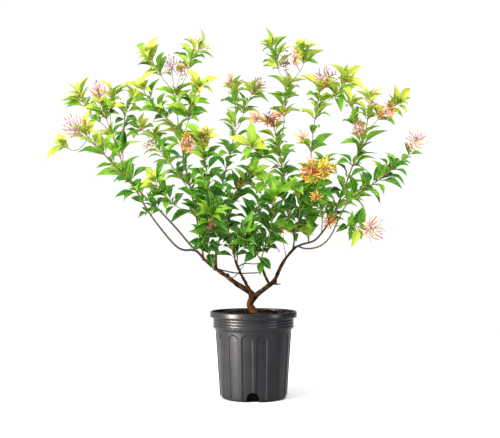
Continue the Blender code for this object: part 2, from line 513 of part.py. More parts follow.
class StemSurface:
    """One stem as a growing surface: its nodes have sides that leaves or flowers are drawn out of."""

    def __init__(self, stem, centres):
        """Rings the stem with a short swollen node at each of the given centres, base to tip."""
        stations = self.stations(stem, centres)
        self.stem = stem
        self.node_centres = centres
        self.verts = []
        for (centre, radius, _), (tangent, side) in zip(stations, frames([one[0] for one in stations])):
            self.verts += ring(centre, tangent, side, radius, SHOOT_SIDES)
        last = len(self.verts) - SHOOT_SIDES
        self.faces = [tuple(reversed(range(SHOOT_SIDES))), tuple(range(last, last + SHOOT_SIDES))]
        self.free = [[] for _ in centres]
        for index, (_, _, node) in enumerate(stations[:-1]):
            target = self.faces if node is None else self.free[node]
            for step in range(SHOOT_SIDES):
                low, high = index * SHOOT_SIDES, (index + 1) * SHOOT_SIDES
                after = (step + 1) % SHOOT_SIDES
                target.append((low + step, low + after, high + after, high + step))

    @staticmethod
    def stations(stem, centres):
        """Centre, radius and node number of each ring. A node's number is with its lower ring."""
        placed = []
        for node, centre in enumerate(centres):
            where = nearest_place(stem.points, centre)
            at = min(int(where), len(stem.points) - 2)
            radius = stem.radii[at] + (stem.radii[at + 1] - stem.radii[at]) * (where - at)
            half = (stem.points[at + 1] - stem.points[at]).normalized() * NODE_HALF_LENGTH
            placed.append((where, 0, (centre - half, radius * NODE_SWELL, node)))
            placed.append((where, 1, (centre + half, radius * NODE_SWELL, None)))
        for number, (point, radius) in enumerate(zip(stem.points, stem.radii)):
            near = any((point - centre).length < 2.2 * NODE_HALF_LENGTH for centre in centres)
            if number in (0, len(stem.points) - 1) or not near:
                placed.append((number, 0, (point, radius, None)))
        placed.sort(key=lambda item: item[:2])
        return [item[2] for item in placed]

    def quad_corners(self, quad):
        """The corners of one side in space."""
        return [self.verts[index] for index in quad]

    def sides_facing(self, node, run):
        """The free sides of a node that face the way a blade runs, the best first."""
        way = run.normalized()

        def facing(quad):
            middle = sum(self.quad_corners(quad), Vector()) / 4
            return (middle - self.node_centres[node]).normalized().dot(way)

        return sorted((quad for quad in self.free[node] if facing(quad) > LEAST_FACING), key=facing,
                      reverse=True)

    def draw_out(self, node, quad, blade):
        """Draws a leaf or a flower out of one side of a node."""
        self.free[node].remove(quad)
        last = list(quad)
        for section in untwisted(self.quad_corners(quad), blade.sections):
            fresh = list(range(len(self.verts), len(self.verts) + 4))
            self.verts += section
            self.faces += walls(last, fresh)
            last = fresh
        if blade.tip is None:
            self.faces.append(tuple(last))
            return
        self.verts.append(blade.tip)
        for step in range(4):
            self.faces.append((last[step], last[(step + 1) % 4], len(self.verts) - 1))

    def closed(self):
        """The whole surface, with the sides that nothing grows from."""
        return self.verts, self.faces + [quad for side in self.free for quad in side]


@dataclass
class Blade:
    """A leaf or a flower by its cross-sections, four corners each, and a leaf by its tip too."""

    sections: list
    tip: Vector = None

    def body(self, foot):
        """Its surface for testing, from just off the four corners it grows from."""
        sections = untwisted(foot, self.sections)
        sections.insert(0, [corner.lerp(on, BASE_LEFT_OUT) for corner, on in zip(foot, sections[0])])
        if self.tip:
            sections.append([self.tip.lerp(corner, TIP_BLUNTED) for corner in sections[-1]])
        verts = [corner for section in sections for corner in section]
        faces = [(3, 2, 1, 0), tuple(range(len(verts) - 4, len(verts)))]
        for first in range(0, len(verts) - 4, 4):
            faces += walls(range(first, first + 4), range(first + 4, first + 8))
        return verts, faces


def untwisted(foot, sections):
    """The sections with their corners renumbered so that the first turns least from the foot."""

    def rays(corners):
        middle = sum(corners, Vector()) / 4
        return [(corner - middle).normalized() for corner in corners]

    def turn(shift):
        section = sections[0][shift:] + sections[0][:shift]
        return sum((one - two).length_squared for one, two in zip(rays(foot), rays(section)))

    best = min(range(4), key=turn)
    return [section[best:] + section[:best] for section in sections]


def walls(low, high):
    """The four walls between two rings of four corners.

    Walls that lie opposite are split along the same diagonal, so that a thin twisted blade's sides
    don't cross.
    """
    faces = []
    for step in range(4):
        after = (step + 1) % 4
        corners = (low[step], low[after], high[after], high[step])
        if step < 2:
            faces += [(corners[0], corners[1], corners[2]), (corners[0], corners[2], corners[3])]
        else:
            faces += [(corners[0], corners[1], corners[3]), (corners[1], corners[2], corners[3])]
    return faces


def across_blade(centre, run, upper, width, thickness):
    """The four corners of a cross-section."""
    across = upper.cross(run).normalized() * width / 2
    up = upper * thickness / 2
    return [centre - across - up, centre + across - up, centre + across + up, centre - across + up]


def upper_side(run, tangent, roll):
    """The side of a leaf that faces the stem's tip and the sky, rolled to the light at the front."""
    sky = (tangent + Vector((0, -roll, 1))).normalized()
    return (sky - run * sky.dot(run) / run.length_squared).normalized()


def lay_leaf(node, spot, length, towards):
    """A leaf's tip, drawn at a spot, as far in front of or behind its node as its length asks."""
    depth = node.y / CM
    flat = place(*spot, depth) - node
    behind = sqrt(max((length * CM) ** 2 - flat.length_squared, 0))
    return place(*spot, depth + towards * behind / CM)


def whorl_spots(whorl, here, draw):
    """Where the leaf tips of a whorl are drawn, those that point to the front or back included."""
    spots = list(whorl[1:])
    while len(spots) < LEAVES_PER_WHORL:
        spots.append((here.x + draw.uniform(-2, 2), here.y + draw.uniform(-0.5, 2.5)))
    return spots


def grow_whorl(surface, node, shoot, room, draw):
    """Grows the leaves of one whorl, each where the space is free."""
    centre = surface.node_centres[node]
    at = min(int(nearest_place(shoot.points, centre)), len(shoot.points) - 2)
    tangent = (shoot.points[at + 1] - shoot.points[at]).normalized()
    is_young = node == len(shoot.whorls) - 1 and node > 0
    lengths = LEAF_YOUNG if is_young else LEAF_FULL
    towards = draw.choice((-1, 1))
    for spot in whorl_spots(shoot.whorls[node], drawn(centre), draw):
        length = draw.uniform(*lengths)
        roll = draw.uniform(*LEAF_ROLL)
        for share, facing in LEAF_TRIES:
            tip = lay_leaf(centre, spot, length * share, towards * facing)
            run = tip - centre
            if run.normalized().dot(tangent) > LEAF_STEEPEST:
                continue
            upper = upper_side(run, tangent, roll)
            lift = upper * run.length * LEAF_ARCH
            width = max(run.length * LEAF_SLENDERNESS, LEAF_LEAST_WIDTH)
            widest = centre + run * LEAF_WIDEST + lift
            blade = Blade([across_blade(widest, run, upper, width, LEAF_THICKNESS)], tip)
            if add_where_clear(surface, node, blade, run, room):
                break
        towards = -towards


def add_where_clear(surface, node, blade, run, room):
    """Draws a blade out of the best side that leaves it clear of everything, and says whether it did."""
    for quad in surface.sides_facing(node, run)[:SIDES_TRIED]:
        body = blade.body(surface.quad_corners(quad))
        if room.clear(*body, surface.stem):
            room.add(*body)
            surface.draw_out(node, quad, blade)
            return True
    return False


def grow_flowers(surface, node, room, draw):
    """Grows one ring of flowers straight out of the sides of a node, wider the lower the ring is."""
    count = len(surface.node_centres)
    share = (count - 1 - node) / max(count - 1, 1)
    axis = (surface.node_centres[-1] - surface.node_centres[0]).normalized()
    centre = surface.node_centres[node]
    for quad in list(surface.free[node]):
        out = sum(surface.quad_corners(quad), Vector()) / 4 - centre
        out = (out - axis * out.dot(axis)).normalized()
        lean = FLOWER_SPREAD[0] + (FLOWER_SPREAD[1] - FLOWER_SPREAD[0]) * share
        lean += draw.uniform(-FLOWER_LEAN, FLOWER_LEAN)
        run = (axis * cos(lean) + out * sin(lean)) * draw.uniform(*FLOWER_LENGTH)
        upper = (axis - run * axis.dot(run) / run.length_squared).normalized()
        blade = Blade([across_blade(centre + run * FLOWER_THROAT, run, upper, FLOWER_BASE, FLOWER_BASE),
                       across_blade(centre + run, run, upper, FLOWER_MOUTH, FLOWER_MOUTH)])
        body = blade.body(surface.quad_corners(quad))
        if room.clear(*body, surface.stem):
            room.add(*body)
            surface.draw_out(node, quad, blade)


# Objects

def material(name, hex_colour, roughness):
    """A plain material from an sRGB colour."""
    made = bpy.data.materials.new(name)
    made.use_nodes = True
    shader = made.node_tree.nodes["Principled BSDF"]
    channels = [int(hex_colour[index:index + 2], 16) / 255 for index in (0, 2, 4)]
    linear = [c / 12.92 if c <= 0.04045 else ((c + 0.055) / 1.055) ** 2.4 for c in channels]
    shader.inputs["Base Color"].default_value = (*linear, 1)
    shader.inputs["Roughness"].default_value = roughness
    shader.inputs["Metallic"].default_value = 0
    made.diffuse_color = (*linear, 1)
    return made


def add_object(name, verts, faces, finish, smooth_angle=None):
    """A mesh object with one material."""
    mesh = bpy.data.meshes.new(name)
    mesh.from_pydata([tuple(vert) for vert in verts], [], faces)
    mesh.update()
    if finish:
        mesh.materials.append(finish)
    if smooth_angle:
        mesh.shade_smooth()
        mesh.set_sharp_from_angle(angle=smooth_angle)
    made = bpy.data.objects.new(name, mesh)
    bpy.context.scene.collection.objects.link(made)
    return made


def hide_cutter(cutter):
    """Marks an object as a cutter only."""
    cutter.hide_render = True
    cutter.display_type = "WIRE"


def combine(target, other, operation):
    """Adds a Boolean modifier."""
    modifier = target.modifiers.new(operation.title(), "BOOLEAN")
    modifier.operation = operation
    modifier.solver = "EXACT"
    modifier.object = other
    hide_cutter(other)


def turned(name, profile, turn, finish):
    """A solid of revolution from (radius, height) points that run up its outside and down its inside."""
    verts = []
    rings = []
    for radius, height in profile:
        if radius == 0:
            rings.append([len(verts)])
            verts.append(Vector((0, 0, height)))
            continue
        rings.append(list(range(len(verts), len(verts) + POT_SIDES)))
        for step in range(POT_SIDES):
            angle = turn + 2 * pi * step / POT_SIDES
            verts.append(Vector((radius * sin(angle), -radius * cos(angle), height)))
    faces = []
    for low, high in zip(rings, rings[1:]):
        for step in range(POT_SIDES):
            after = (step + 1) % POT_SIDES
            corners = [low[step % len(low)], low[after % len(low)], high[after % len(high)],
                       high[step % len(high)]]
            faces.append(tuple(dict.fromkeys(corners)))
    return add_object(name, verts, faces, finish, radians(35))


def arch_outline(width, height):
    """The corners of a slot with a round top and a foot below the ground, as (across, up)."""
    radius = width / 2
    corners = [(-radius, -5 * MM), (radius, -5 * MM)]
    for step in range(ARCH_STEPS + 1):
        angle = pi * step / ARCH_STEPS
        corners.append((radius * cos(angle), height - radius + radius * sin(angle)))
    return corners


def radial_cutters(name, angles, outline, inner, outer):
    """Prisms that point out of the pot's middle, one at each angle, as one mesh.

    inner and outer give the distance from the middle at a height.
    """
    verts = []
    faces = []
    for angle in angles:
        across = Vector((cos(angle), sin(angle), 0))
        out = Vector((sin(angle), -cos(angle), 0))
        first = len(verts)
        count = len(outline)
        for reach in (outer, inner):
            verts += [across * side + out * reach(up) + Vector((0, 0, up)) for side, up in outline]
        faces.append(tuple(range(first, first + count)))
        faces.append(tuple(reversed(range(first + count, first + 2 * count))))
        for step in range(count):
            after = (step + 1) % count
            faces.append((first + after, first + step, first + count + step, first + count + after))
    return add_object(name, verts, faces, None)


def pot_wall(height):
    """The outer radius of the tapered body at a height."""
    share = (height - POT_FOOT_ROUND) / (POT_NECK_FOOT - POT_FOOT_ROUND)
    return POT_FOOT_RADIUS + (POT_SHOULDER_RADIUS - POT_FOOT_RADIUS) * share


def pot_inside(height):
    """The inner radius of the body at a height: clear of the flutes by the wall."""
    return pot_wall(height) - FLUTE_DEPTH - 0.75 * POT_WALL


def build_pot():
    """The blow-moulded pot, with its lip, ringed neck, flutes and drain holes."""
    slant = POT_FOOT_ROUND * 0.3
    lip_foot = POT_HEIGHT - POT_LIP_HEIGHT
    profile = [(0, 0), (POT_FOOT_RADIUS - POT_FOOT_ROUND, 0), (POT_FOOT_RADIUS - slant, slant),
               (POT_FOOT_RADIUS, POT_FOOT_ROUND), (POT_SHOULDER_RADIUS, POT_NECK_FOOT - 2 * MM),
               (POT_NECK_RADIUS, POT_NECK_FOOT)]
    for height in RIDGE_HEIGHTS:
        profile += [(POT_NECK_RADIUS, height - RIDGE_HALF_HEIGHT), (POT_NECK_RADIUS + RIDGE_PROUD, height),
                    (POT_NECK_RADIUS, height + RIDGE_HALF_HEIGHT)]
    rim_inside = POT_RIM_RADIUS - 3.5 * MM
    neck_inside = POT_NECK_RADIUS - POT_WALL
    profile += [(POT_NECK_RADIUS + 0.5 * MM, lip_foot), (POT_RIM_RADIUS, lip_foot + MM),
                (POT_RIM_RADIUS, POT_HEIGHT - 1.5 * MM), (POT_RIM_RADIUS - 1.5 * MM, POT_HEIGHT),
                (rim_inside, POT_HEIGHT), (rim_inside - MM, lip_foot + 2 * MM),
                (neck_inside, lip_foot), (neck_inside, POT_NECK_FOOT + POT_WALL),
                (pot_inside(POT_NECK_FOOT), POT_NECK_FOOT - 2 * MM), (pot_inside(10 * MM), 10 * MM),
                (pot_inside(10 * MM) - 5 * MM, POT_BOTTOM), (0, POT_BOTTOM)]
    pot = turned("pot", profile, POT_TURN, material("blow-moulded polyethylene", "3A3B3D", 0.4))
    flute_angles = [POT_TURN + 2 * pi * (step + 0.5) / FLUTES for step in range(FLUTES)]
    flutes = radial_cutters("flute_cutters", flute_angles, arch_outline(FLUTE_WIDTH, FLUTE_TOP),
                            lambda up: pot_wall(up) - FLUTE_DEPTH, lambda up: pot_wall(up) + 12 * MM)
    combine(pot, flutes, "DIFFERENCE")
    combine(pot, bpy.data.objects["drain_cutters"], "DIFFERENCE")
    return pot


def drain_cutters():
    """The arch-topped drain holes through the foot of the wall, and the hollows in the mix behind them."""
    angles = [DRAIN_TURN + 2 * pi * rib / FLUTES for rib in DRAIN_RIBS]
    return radial_cutters("drain_cutters", angles, arch_outline(DRAIN_WIDTH, DRAIN_HEIGHT),
                          lambda up: DRAIN_INNER, lambda up: POT_RIM_RADIUS)


def build_mix():
    """The potting mix: it fills the pot to below the rim, rises to the trunk and holds its foot."""
    play = GAP / cos(pi / POT_SIDES)
    neck_side = POT_NECK_RADIUS - POT_WALL - play
    rim_side = POT_RIM_RADIUS - 4.5 * MM - play
    ledge = POT_HEIGHT - POT_LIP_HEIGHT + GAP
    profile = [(0, POT_BOTTOM + GAP), (pot_inside(10 * MM) - 5.5 * MM, POT_BOTTOM + GAP),
               (pot_inside(10 * MM) - play, 10 * MM + GAP),
               (pot_inside(POT_NECK_FOOT) - play, POT_NECK_FOOT - 2 * MM),
               (neck_side, POT_NECK_FOOT + POT_WALL + GAP), (neck_side, ledge), (rim_side, ledge + 2 * MM),
               (rim_side, MIX_EDGE_HEIGHT - 1.5 * MM), (104 * MM, MIX_EDGE_HEIGHT),
               (40 * MM, MIX_CROWN_HEIGHT - MM), (0, MIX_CROWN_HEIGHT)]
    mix = turned("potting_mix", profile, POT_TURN, material("bark potting mix", "3B2A20", 0.95))
    points = [place(*spot) for spot, _ in TRUNK[:2]] + [place(0.3, 23.5, 0)]
    radii = [TRUNK[0][1] / 2 * MM + 1.4 * GAP, TRUNK[1][1] / 2 * MM + 1.4 * GAP, 12 * MM + 1.4 * GAP]
    points[0].z -= GAP
    socket = add_object("trunk_socket", *tube(points, radii, WOOD_SIDES), None)
    combine(mix, socket, "DIFFERENCE")
    combine(mix, bpy.data.objects["drain_cutters"], "DIFFERENCE")
    return mix


def build_wood():
    """The trunk with its four limbs, grown as one piece."""
    bark = material("red-brown bark", "6B4226", 0.8)
    limbs = []
    for number, limb in enumerate(LIMBS):
        points = [place(*spot) for spot, _ in limb]
        radii = [width / 2 * MM for _, width in limb]
        limbs.append(Shoot(f"limb_{number}", "", 0, (), (), points=points, radii=radii))
    trunk = limbs[0]
    made = add_object("trunk_and_limbs", *tube(trunk.points, trunk.radii, WOOD_SIDES), bark, radians(50))
    for limb in limbs[1:]:
        combine(made, add_object(limb.name, *tube(limb.points, limb.radii, WOOD_SIDES), None), "UNION")
    return limbs


def grow_stems(limbs):
    """Sets out every shoot and flower stalk in space, each seated on what carries it."""
    stems = {"wood": limbs}
    grown = list(limbs)
    for prefix, family in (("", SHOOTS), ("flower ", FLOWER_HEADS)):
        waiting = list(family)
        while waiting:
            shoot = next(one for one in waiting if one.carrier in stems)
            waiting.remove(shoot)
            carriers = stems[shoot.carrier]
            starts = [along(carrier.points, shoot.route[0]) for carrier in carriers]
            start = min(starts, key=lambda point: (drawn(point) - Vector(shoot.route[0])).length)
            radius = shoot.widths[0] / 2 * MM
            points = seat(set_out(shoot.route, start, shoot.depth), radius, grown)
            count = len(points) - 1
            end = shoot.widths[1] / 2 * MM
            shoot.points = points
            shoot.radii = [radius + (end - radius) * step / count for step in range(count + 1)]
            stems[prefix + shoot.name] = [shoot]
            grown.append(shoot)


def main():
    """Builds the whole plant in its pot."""
    for existing in list(bpy.data.objects):
        bpy.data.objects.remove(existing, do_unlink=True)
    hide_cutter(drain_cutters())
    build_pot()
    build_mix()
    limbs = build_wood()
    grow_stems(limbs)
    room = Room()
    for stem in (*limbs, *SHOOTS, *FLOWER_HEADS):
        room.add(*tube(stem.points, stem.radii, SHOOT_SIDES))
        room.add(*tube(stem.points, [radius * NODE_SWELL + GAP for radius in stem.radii], WOOD_SIDES), stem)
    red = material("firebush flowers", "D9582B", 0.5)
    leafy = material("firebush leaf and green stem", "5E8F2A", 0.45)
    for number, head in enumerate(FLOWER_HEADS):
        draw = Random(FIRST_HEAD_SEED + number)
        axis = (head.points[-1] - head.points[-2]).normalized()
        steps = range(head.flower_rings, 0, -1)
        centres = [head.points[-1] - axis * step * FLOWER_RING_PITCH for step in steps]
        surface = StemSurface(head, centres)
        for node in range(len(centres)):
            grow_flowers(surface, node, room, draw)
        add_object(f"flower_head_{head.name}", *surface.closed(), red)
    for number, shoot in enumerate(SHOOTS):
        draw = Random(number)
        surface = StemSurface(shoot, [along(shoot.points, whorl[0]) for whorl in shoot.whorls])
        for node in range(len(shoot.whorls)):
            grow_whorl(surface, node, shoot, room, draw)
        add_object(f"leafy_shoot_{shoot.name}", *surface.closed(), leafy)


main()
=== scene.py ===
"""The looks of a firebush that grows as an open shrub in a two-gallon nursery pot.

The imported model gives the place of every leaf, of the pot and of the potting mix. The routes of the
stems are drawn here as they are in the model, in centimetres, as seen from the front.
"""

import json
import logging
from collections.abc import Callable
from dataclasses import dataclass, field
from enum import Enum
from functools import partial
from itertools import combinations
from math import cos, hypot, pi, radians, sin, sqrt
from random import Random

import bmesh
import bpy
from bpy.types import Collection, Material, Mesh, Node, NodeSocket, NodeTree, Object
from mathutils import Matrix, Vector, noise

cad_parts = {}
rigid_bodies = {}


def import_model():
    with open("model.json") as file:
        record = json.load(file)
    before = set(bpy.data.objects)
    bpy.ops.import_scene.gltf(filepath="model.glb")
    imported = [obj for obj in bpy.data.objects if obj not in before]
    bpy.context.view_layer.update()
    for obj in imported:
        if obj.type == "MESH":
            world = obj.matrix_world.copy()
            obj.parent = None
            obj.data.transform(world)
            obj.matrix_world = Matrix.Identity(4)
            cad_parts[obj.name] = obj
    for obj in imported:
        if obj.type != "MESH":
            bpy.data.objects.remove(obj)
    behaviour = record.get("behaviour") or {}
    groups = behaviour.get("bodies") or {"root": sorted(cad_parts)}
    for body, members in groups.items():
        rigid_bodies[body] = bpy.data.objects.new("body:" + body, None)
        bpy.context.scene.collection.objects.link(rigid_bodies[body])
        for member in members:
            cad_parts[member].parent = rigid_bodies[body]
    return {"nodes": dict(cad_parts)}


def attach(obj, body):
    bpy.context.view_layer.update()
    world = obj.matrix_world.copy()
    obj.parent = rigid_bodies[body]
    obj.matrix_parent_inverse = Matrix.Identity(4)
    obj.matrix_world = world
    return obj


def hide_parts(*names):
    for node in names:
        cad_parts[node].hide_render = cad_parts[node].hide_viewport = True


LOG = logging.getLogger("potted_firebush")
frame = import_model()

# Units, in metres
MM = 0.001
CM = 0.01
MERGE = 0.02 * MM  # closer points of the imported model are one
LEAF_PLATE = 1.0 * MM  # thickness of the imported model's leaves, by which they are found
LEAF_PLATE_SLACK = 0.03 * MM
LEAST_LEAF = 9 * MM

# The view that the routes are drawn in, in centimetres
SIGHT_DISTANCE = 240
SIGHT_HEIGHT = 40

NOISE_LOW, NOISE_HIGH = 0.3, 0.7  # a noise pattern seldom leaves this range

SKY = Vector((0, 0, 1))
LEAF_LIGHT = Vector((0, -1.5, 1))  # where the upper sides of the leaves turn to, less the stem's own way


class Tone(Enum):
    """The colour of a flower: how yellow it is, from deep red, and how much of it is pink."""

    DEEP_RED = (0.06, 0.15)
    RED = (0.28, 0.05)
    ORANGE = (0.55, 0.0)
    YELLOW = (0.88, 0.0)
    PINK = (0.42, 0.55)
    LILAC = (0.2, 1.0)


DEEP_RED, RED, ORANGE, YELLOW, PINK, LILAC = Tone


@dataclass(frozen=True)
class Stem:
    """A stem or flower stalk: what carries it, the depth of its end, its widths in mm and its route."""

    name: str
    carrier: str
    depth: float
    widths: tuple[float, float]
    route: tuple[tuple[float, float], ...]


@dataclass(frozen=True)
class BroadLeaf:
    """A leaf that stands out: its shoot, foot and tip as drawn, and how far ahead of its foot the tip is."""

    shoot: str
    foot: tuple[float, float]
    tip: tuple[float, float]
    ahead: float  # in cm
    width: float  # in mm
    tint: float

    CLEARANCE = 2.0

    def is_covered(self, spot: Vector) -> bool:
        """Says whether a leaf with its middle at a spot in space is drawn over this one."""
        middle = (Vector(self.foot) + Vector(self.tip)) / 2
        return (drawn(spot) - middle).length < self.CLEARANCE


@dataclass(frozen=True)
class Bloom:
    """What one flower stalk holds: the corners that the flowers reach, as drawn, their number and tones."""

    stalk: str
    low: tuple[float, float]
    high: tuple[float, float]
    flowers: int
    buds: int
    tones: tuple[Tone, ...]

    MIDST = (-8, 14)  # from where to where the middle of the plant reaches

    @property
    def side(self) -> str:
        """The side of the plant that the flowers are on."""
        middle = (self.low[0] + self.high[0]) / 2
        return "left" if middle < self.MIDST[0] else "right" if middle > self.MIDST[1] else "centre"


SHOOTS: tuple[Stem, ...] = (
    Stem("left_01", "wood", -14, (6.4, 3.0), ((-15.2, 38.8), (-16.6, 39.1), (-18.8, 38.9), (-21, 40.2),
         (-25, 45), (-28.5, 49.8), (-31.5, 55.5), (-34.5, 58.9), (-40, 64.6), (-45, 70))),
    Stem("left_02", "left_01", -17, (2.4, 1.7), ((-44, 69), (-46.3, 66.2), (-48, 65.4), (-50.5, 66.6))),
    Stem("left_03", "wood", 12, (6.0, 2.8), ((-15.2, 38.8), (-17, 40.5), (-20, 44.2), (-24, 48.5), (-28.5,
         52.8), (-31.5, 55.6), (-33.5, 58.5), (-35.2, 62.5), (-37, 67.5), (-38, 70.5))),
    Stem("left_04", "left_03", 15, (2.6, 1.8), ((-38, 70.5), (-40, 72.3), (-42.5, 74.5), (-44.5, 76.7),
         (-46.3, 80))),
    Stem("left_05", "left_03", 5, (2.4, 1.8), ((-37.8, 69.6), (-39.2, 73.5), (-40, 76), (-40.5, 78))),
    Stem("left_06", "left_03", 18, (2.4, 1.8), ((-36.8, 66.6), (-38.4, 73), (-38.3, 77), (-37.5, 80.5))),
    Stem("left_07", "left_03", 20, (2.6, 1.8), ((-35, 61.9), (-34.9, 70), (-34.4, 75.5), (-33, 78.5), (-32,
         79.8))),
    Stem("left_08", "wood", 1.5, (5.0, 2.8), ((-13.2, 36.8), (-14, 41), (-14.8, 45), (-15.3, 49), (-17, 56),
         (-18, 60.5), (-19, 65.5), (-20, 71))),
    Stem("left_09", "left_08", -10, (2.6, 1.7), ((-15.2, 48.3), (-19, 49.7), (-21, 51), (-23, 52.8), (-25,
         55), (-26.5, 57.5))),
    Stem("left_10", "left_08", -8, (2.6, 1.7), ((-20, 71), (-21.4, 72.6), (-25, 76), (-28.5, 80), (-29.8,
         82.3))),
    Stem("left_11", "left_08", 5, (2.8, 2.0), ((-20, 71), (-20.5, 76.5), (-21, 81))),
    Stem("left_12", "left_11", -3, (2.2, 1.6), ((-21, 81), (-24, 84.5), (-25.5, 87), (-28.2, 91.6))),
    Stem("left_13", "left_11", 13, (2.2, 1.6), ((-21, 81), (-19, 83.5), (-17.5, 87), (-16.9, 90), (-14.5,
         93.3))),
    Stem("left_14", "left_08", -12, (2.6, 1.7), ((-19.5, 68.6), (-18, 71.6), (-17, 75), (-16.7, 78), (-14.6,
         82.8))),
    Stem("left_15", "left_08", 17, (3.0, 1.8), ((-16.3, 53.2), (-19.4, 58.6), (-24, 64), (-25.5, 66.3),
         (-26.5, 69))),
    Stem("left_16", "left_15", 23, (1.9, 1.6), ((-25.2, 65.8), (-27.6, 68.6), (-30, 71.3))),
    Stem("left_17", "wood", -18, (3.4, 2.2), ((-10.8, 34.6), (-12, 38.4), (-12.6, 41.4), (-12, 45), (-11,
         49))),
    Stem("left_18", "left_17", -24, (2.8, 1.8), ((-12.3, 43.2), (-12.5, 50), (-12, 56), (-12.6, 61), (-13.8,
         69))),
    Stem("centre_01", "wood", 16, (5.0, 2.0), ((-9.8, 33.9), (-10, 38), (-9.2, 41), (-8.6, 45), (-9.2,
         50.4), (-8.5, 56), (-7.3, 61), (-6, 65.5), (-4.9, 71), (-4.7, 76), (-5.2, 82))),
    Stem("centre_02", "centre_01", 24, (2.2, 1.7), ((-5, 70), (-3.3, 73), (-2.3, 77), (0, 81.5))),
    Stem("centre_03", "wood", -14, (4.0, 1.8), ((-4.9, 36.3), (-6, 41), (-7, 45), (-8, 49.8), (-6.5, 52),
         (-2.5, 56.5), (-0.5, 59.3))),
    Stem("centre_04", "wood", 11, (3.8, 1.8), ((-4.4, 35), (-4.2, 40), (-3, 43), (-1, 46.5), (1, 49.5),
         (2.8, 53.5), (3.6, 57.2))),
    Stem("centre_05", "wood", -16, (3.0, 1.9), ((2.1, 36), (0.5, 38.5), (-1.2, 40.5), (-2.5, 43))),
    Stem("centre_06", "wood", -21, (3.2, 1.9), ((2, 36.6), (3.5, 41), (4.6, 45), (5.6, 49), (5.6, 53.2))),
    Stem("right_01", "wood", 12, (6.2, 2.4), ((11.2, 39.8), (13, 40.6), (16.2, 41.3), (18.2, 43.5), (20,
         46), (21.7, 49), (23.5, 53.5), (25.2, 58), (26.8, 62.5), (28.8, 66.5), (30, 70), (30.8, 76), (31,
         79.5))),
    Stem("right_02", "right_01", 18, (2.2, 1.7), ((28.2, 65.4), (27.5, 70), (26.8, 75), (26, 78))),
    Stem("right_03", "right_01", 4, (2.2, 1.7), ((30, 70.2), (34, 74.8), (36, 76.4), (38.7, 78.3))),
    Stem("right_04", "right_01", -14, (4.8, 2.2), ((11.8, 40.1), (14, 39.2), (18, 39.9), (20.8, 42.8),
         (22.5, 47), (25.3, 52.3), (28, 54.2), (33, 57.3), (36.8, 60.5), (41.2, 63.8), (42.6, 67))),
    Stem("right_05", "right_04", -19, (2.6, 1.8), ((22, 45.4), (24.2, 45.6), (28.3, 45.1), (30.2, 45.2))),
    Stem("right_06", "right_01", -9, (4.2, 2.0), ((14.7, 41), (14.5, 45), (14.2, 50), (14.8, 54), (15.3,
         62), (15.5, 67), (16.6, 75), (18, 82.5))),
    Stem("right_07", "right_06", -17, (2.2, 1.7), ((17, 77), (20, 79), (22.5, 80.8), (24.8, 84.3))),
    Stem("right_08", "right_06", -21, (3.0, 2.0), ((14.3, 47), (15.5, 52), (16.8, 56), (17, 59.5))),
    Stem("right_09", "centre_07", -17, (2.8, 1.8), ((10.7, 43), (12, 46.5), (12.6, 50.5), (11.6, 55))),
    Stem("right_10", "right_01", 23, (3.0, 1.8), ((18.2, 43.5), (18.4, 48), (17.8, 53), (18.6, 58), (19,
         62))),
    Stem("centre_07", "wood", 6, (4.8, 2.2), ((10.4, 39), (11, 42), (10.3, 45), (8.7, 50), (8.3, 54), (8.4,
         58), (7.2, 63), (6.5, 68), (5.2, 73))),
    Stem("centre_08", "centre_07", 9, (2.6, 2.0), ((6.8, 65.8), (8, 71), (8.3, 75), (9, 83.5))),
    Stem("centre_09", "centre_08", 14, (2.0, 1.6), ((9, 83.5), (7.2, 85.8), (6.3, 89), (4.7, 94))),
    Stem("centre_10", "centre_08", 3, (2.0, 1.6), ((9, 83.2), (12, 86), (13.8, 89.5), (13.2, 93))),
    Stem("centre_11", "centre_07", -13, (2.4, 1.6), ((7.7, 61), (5, 62.5), (2.3, 64), (-0.5, 66.6))),
)

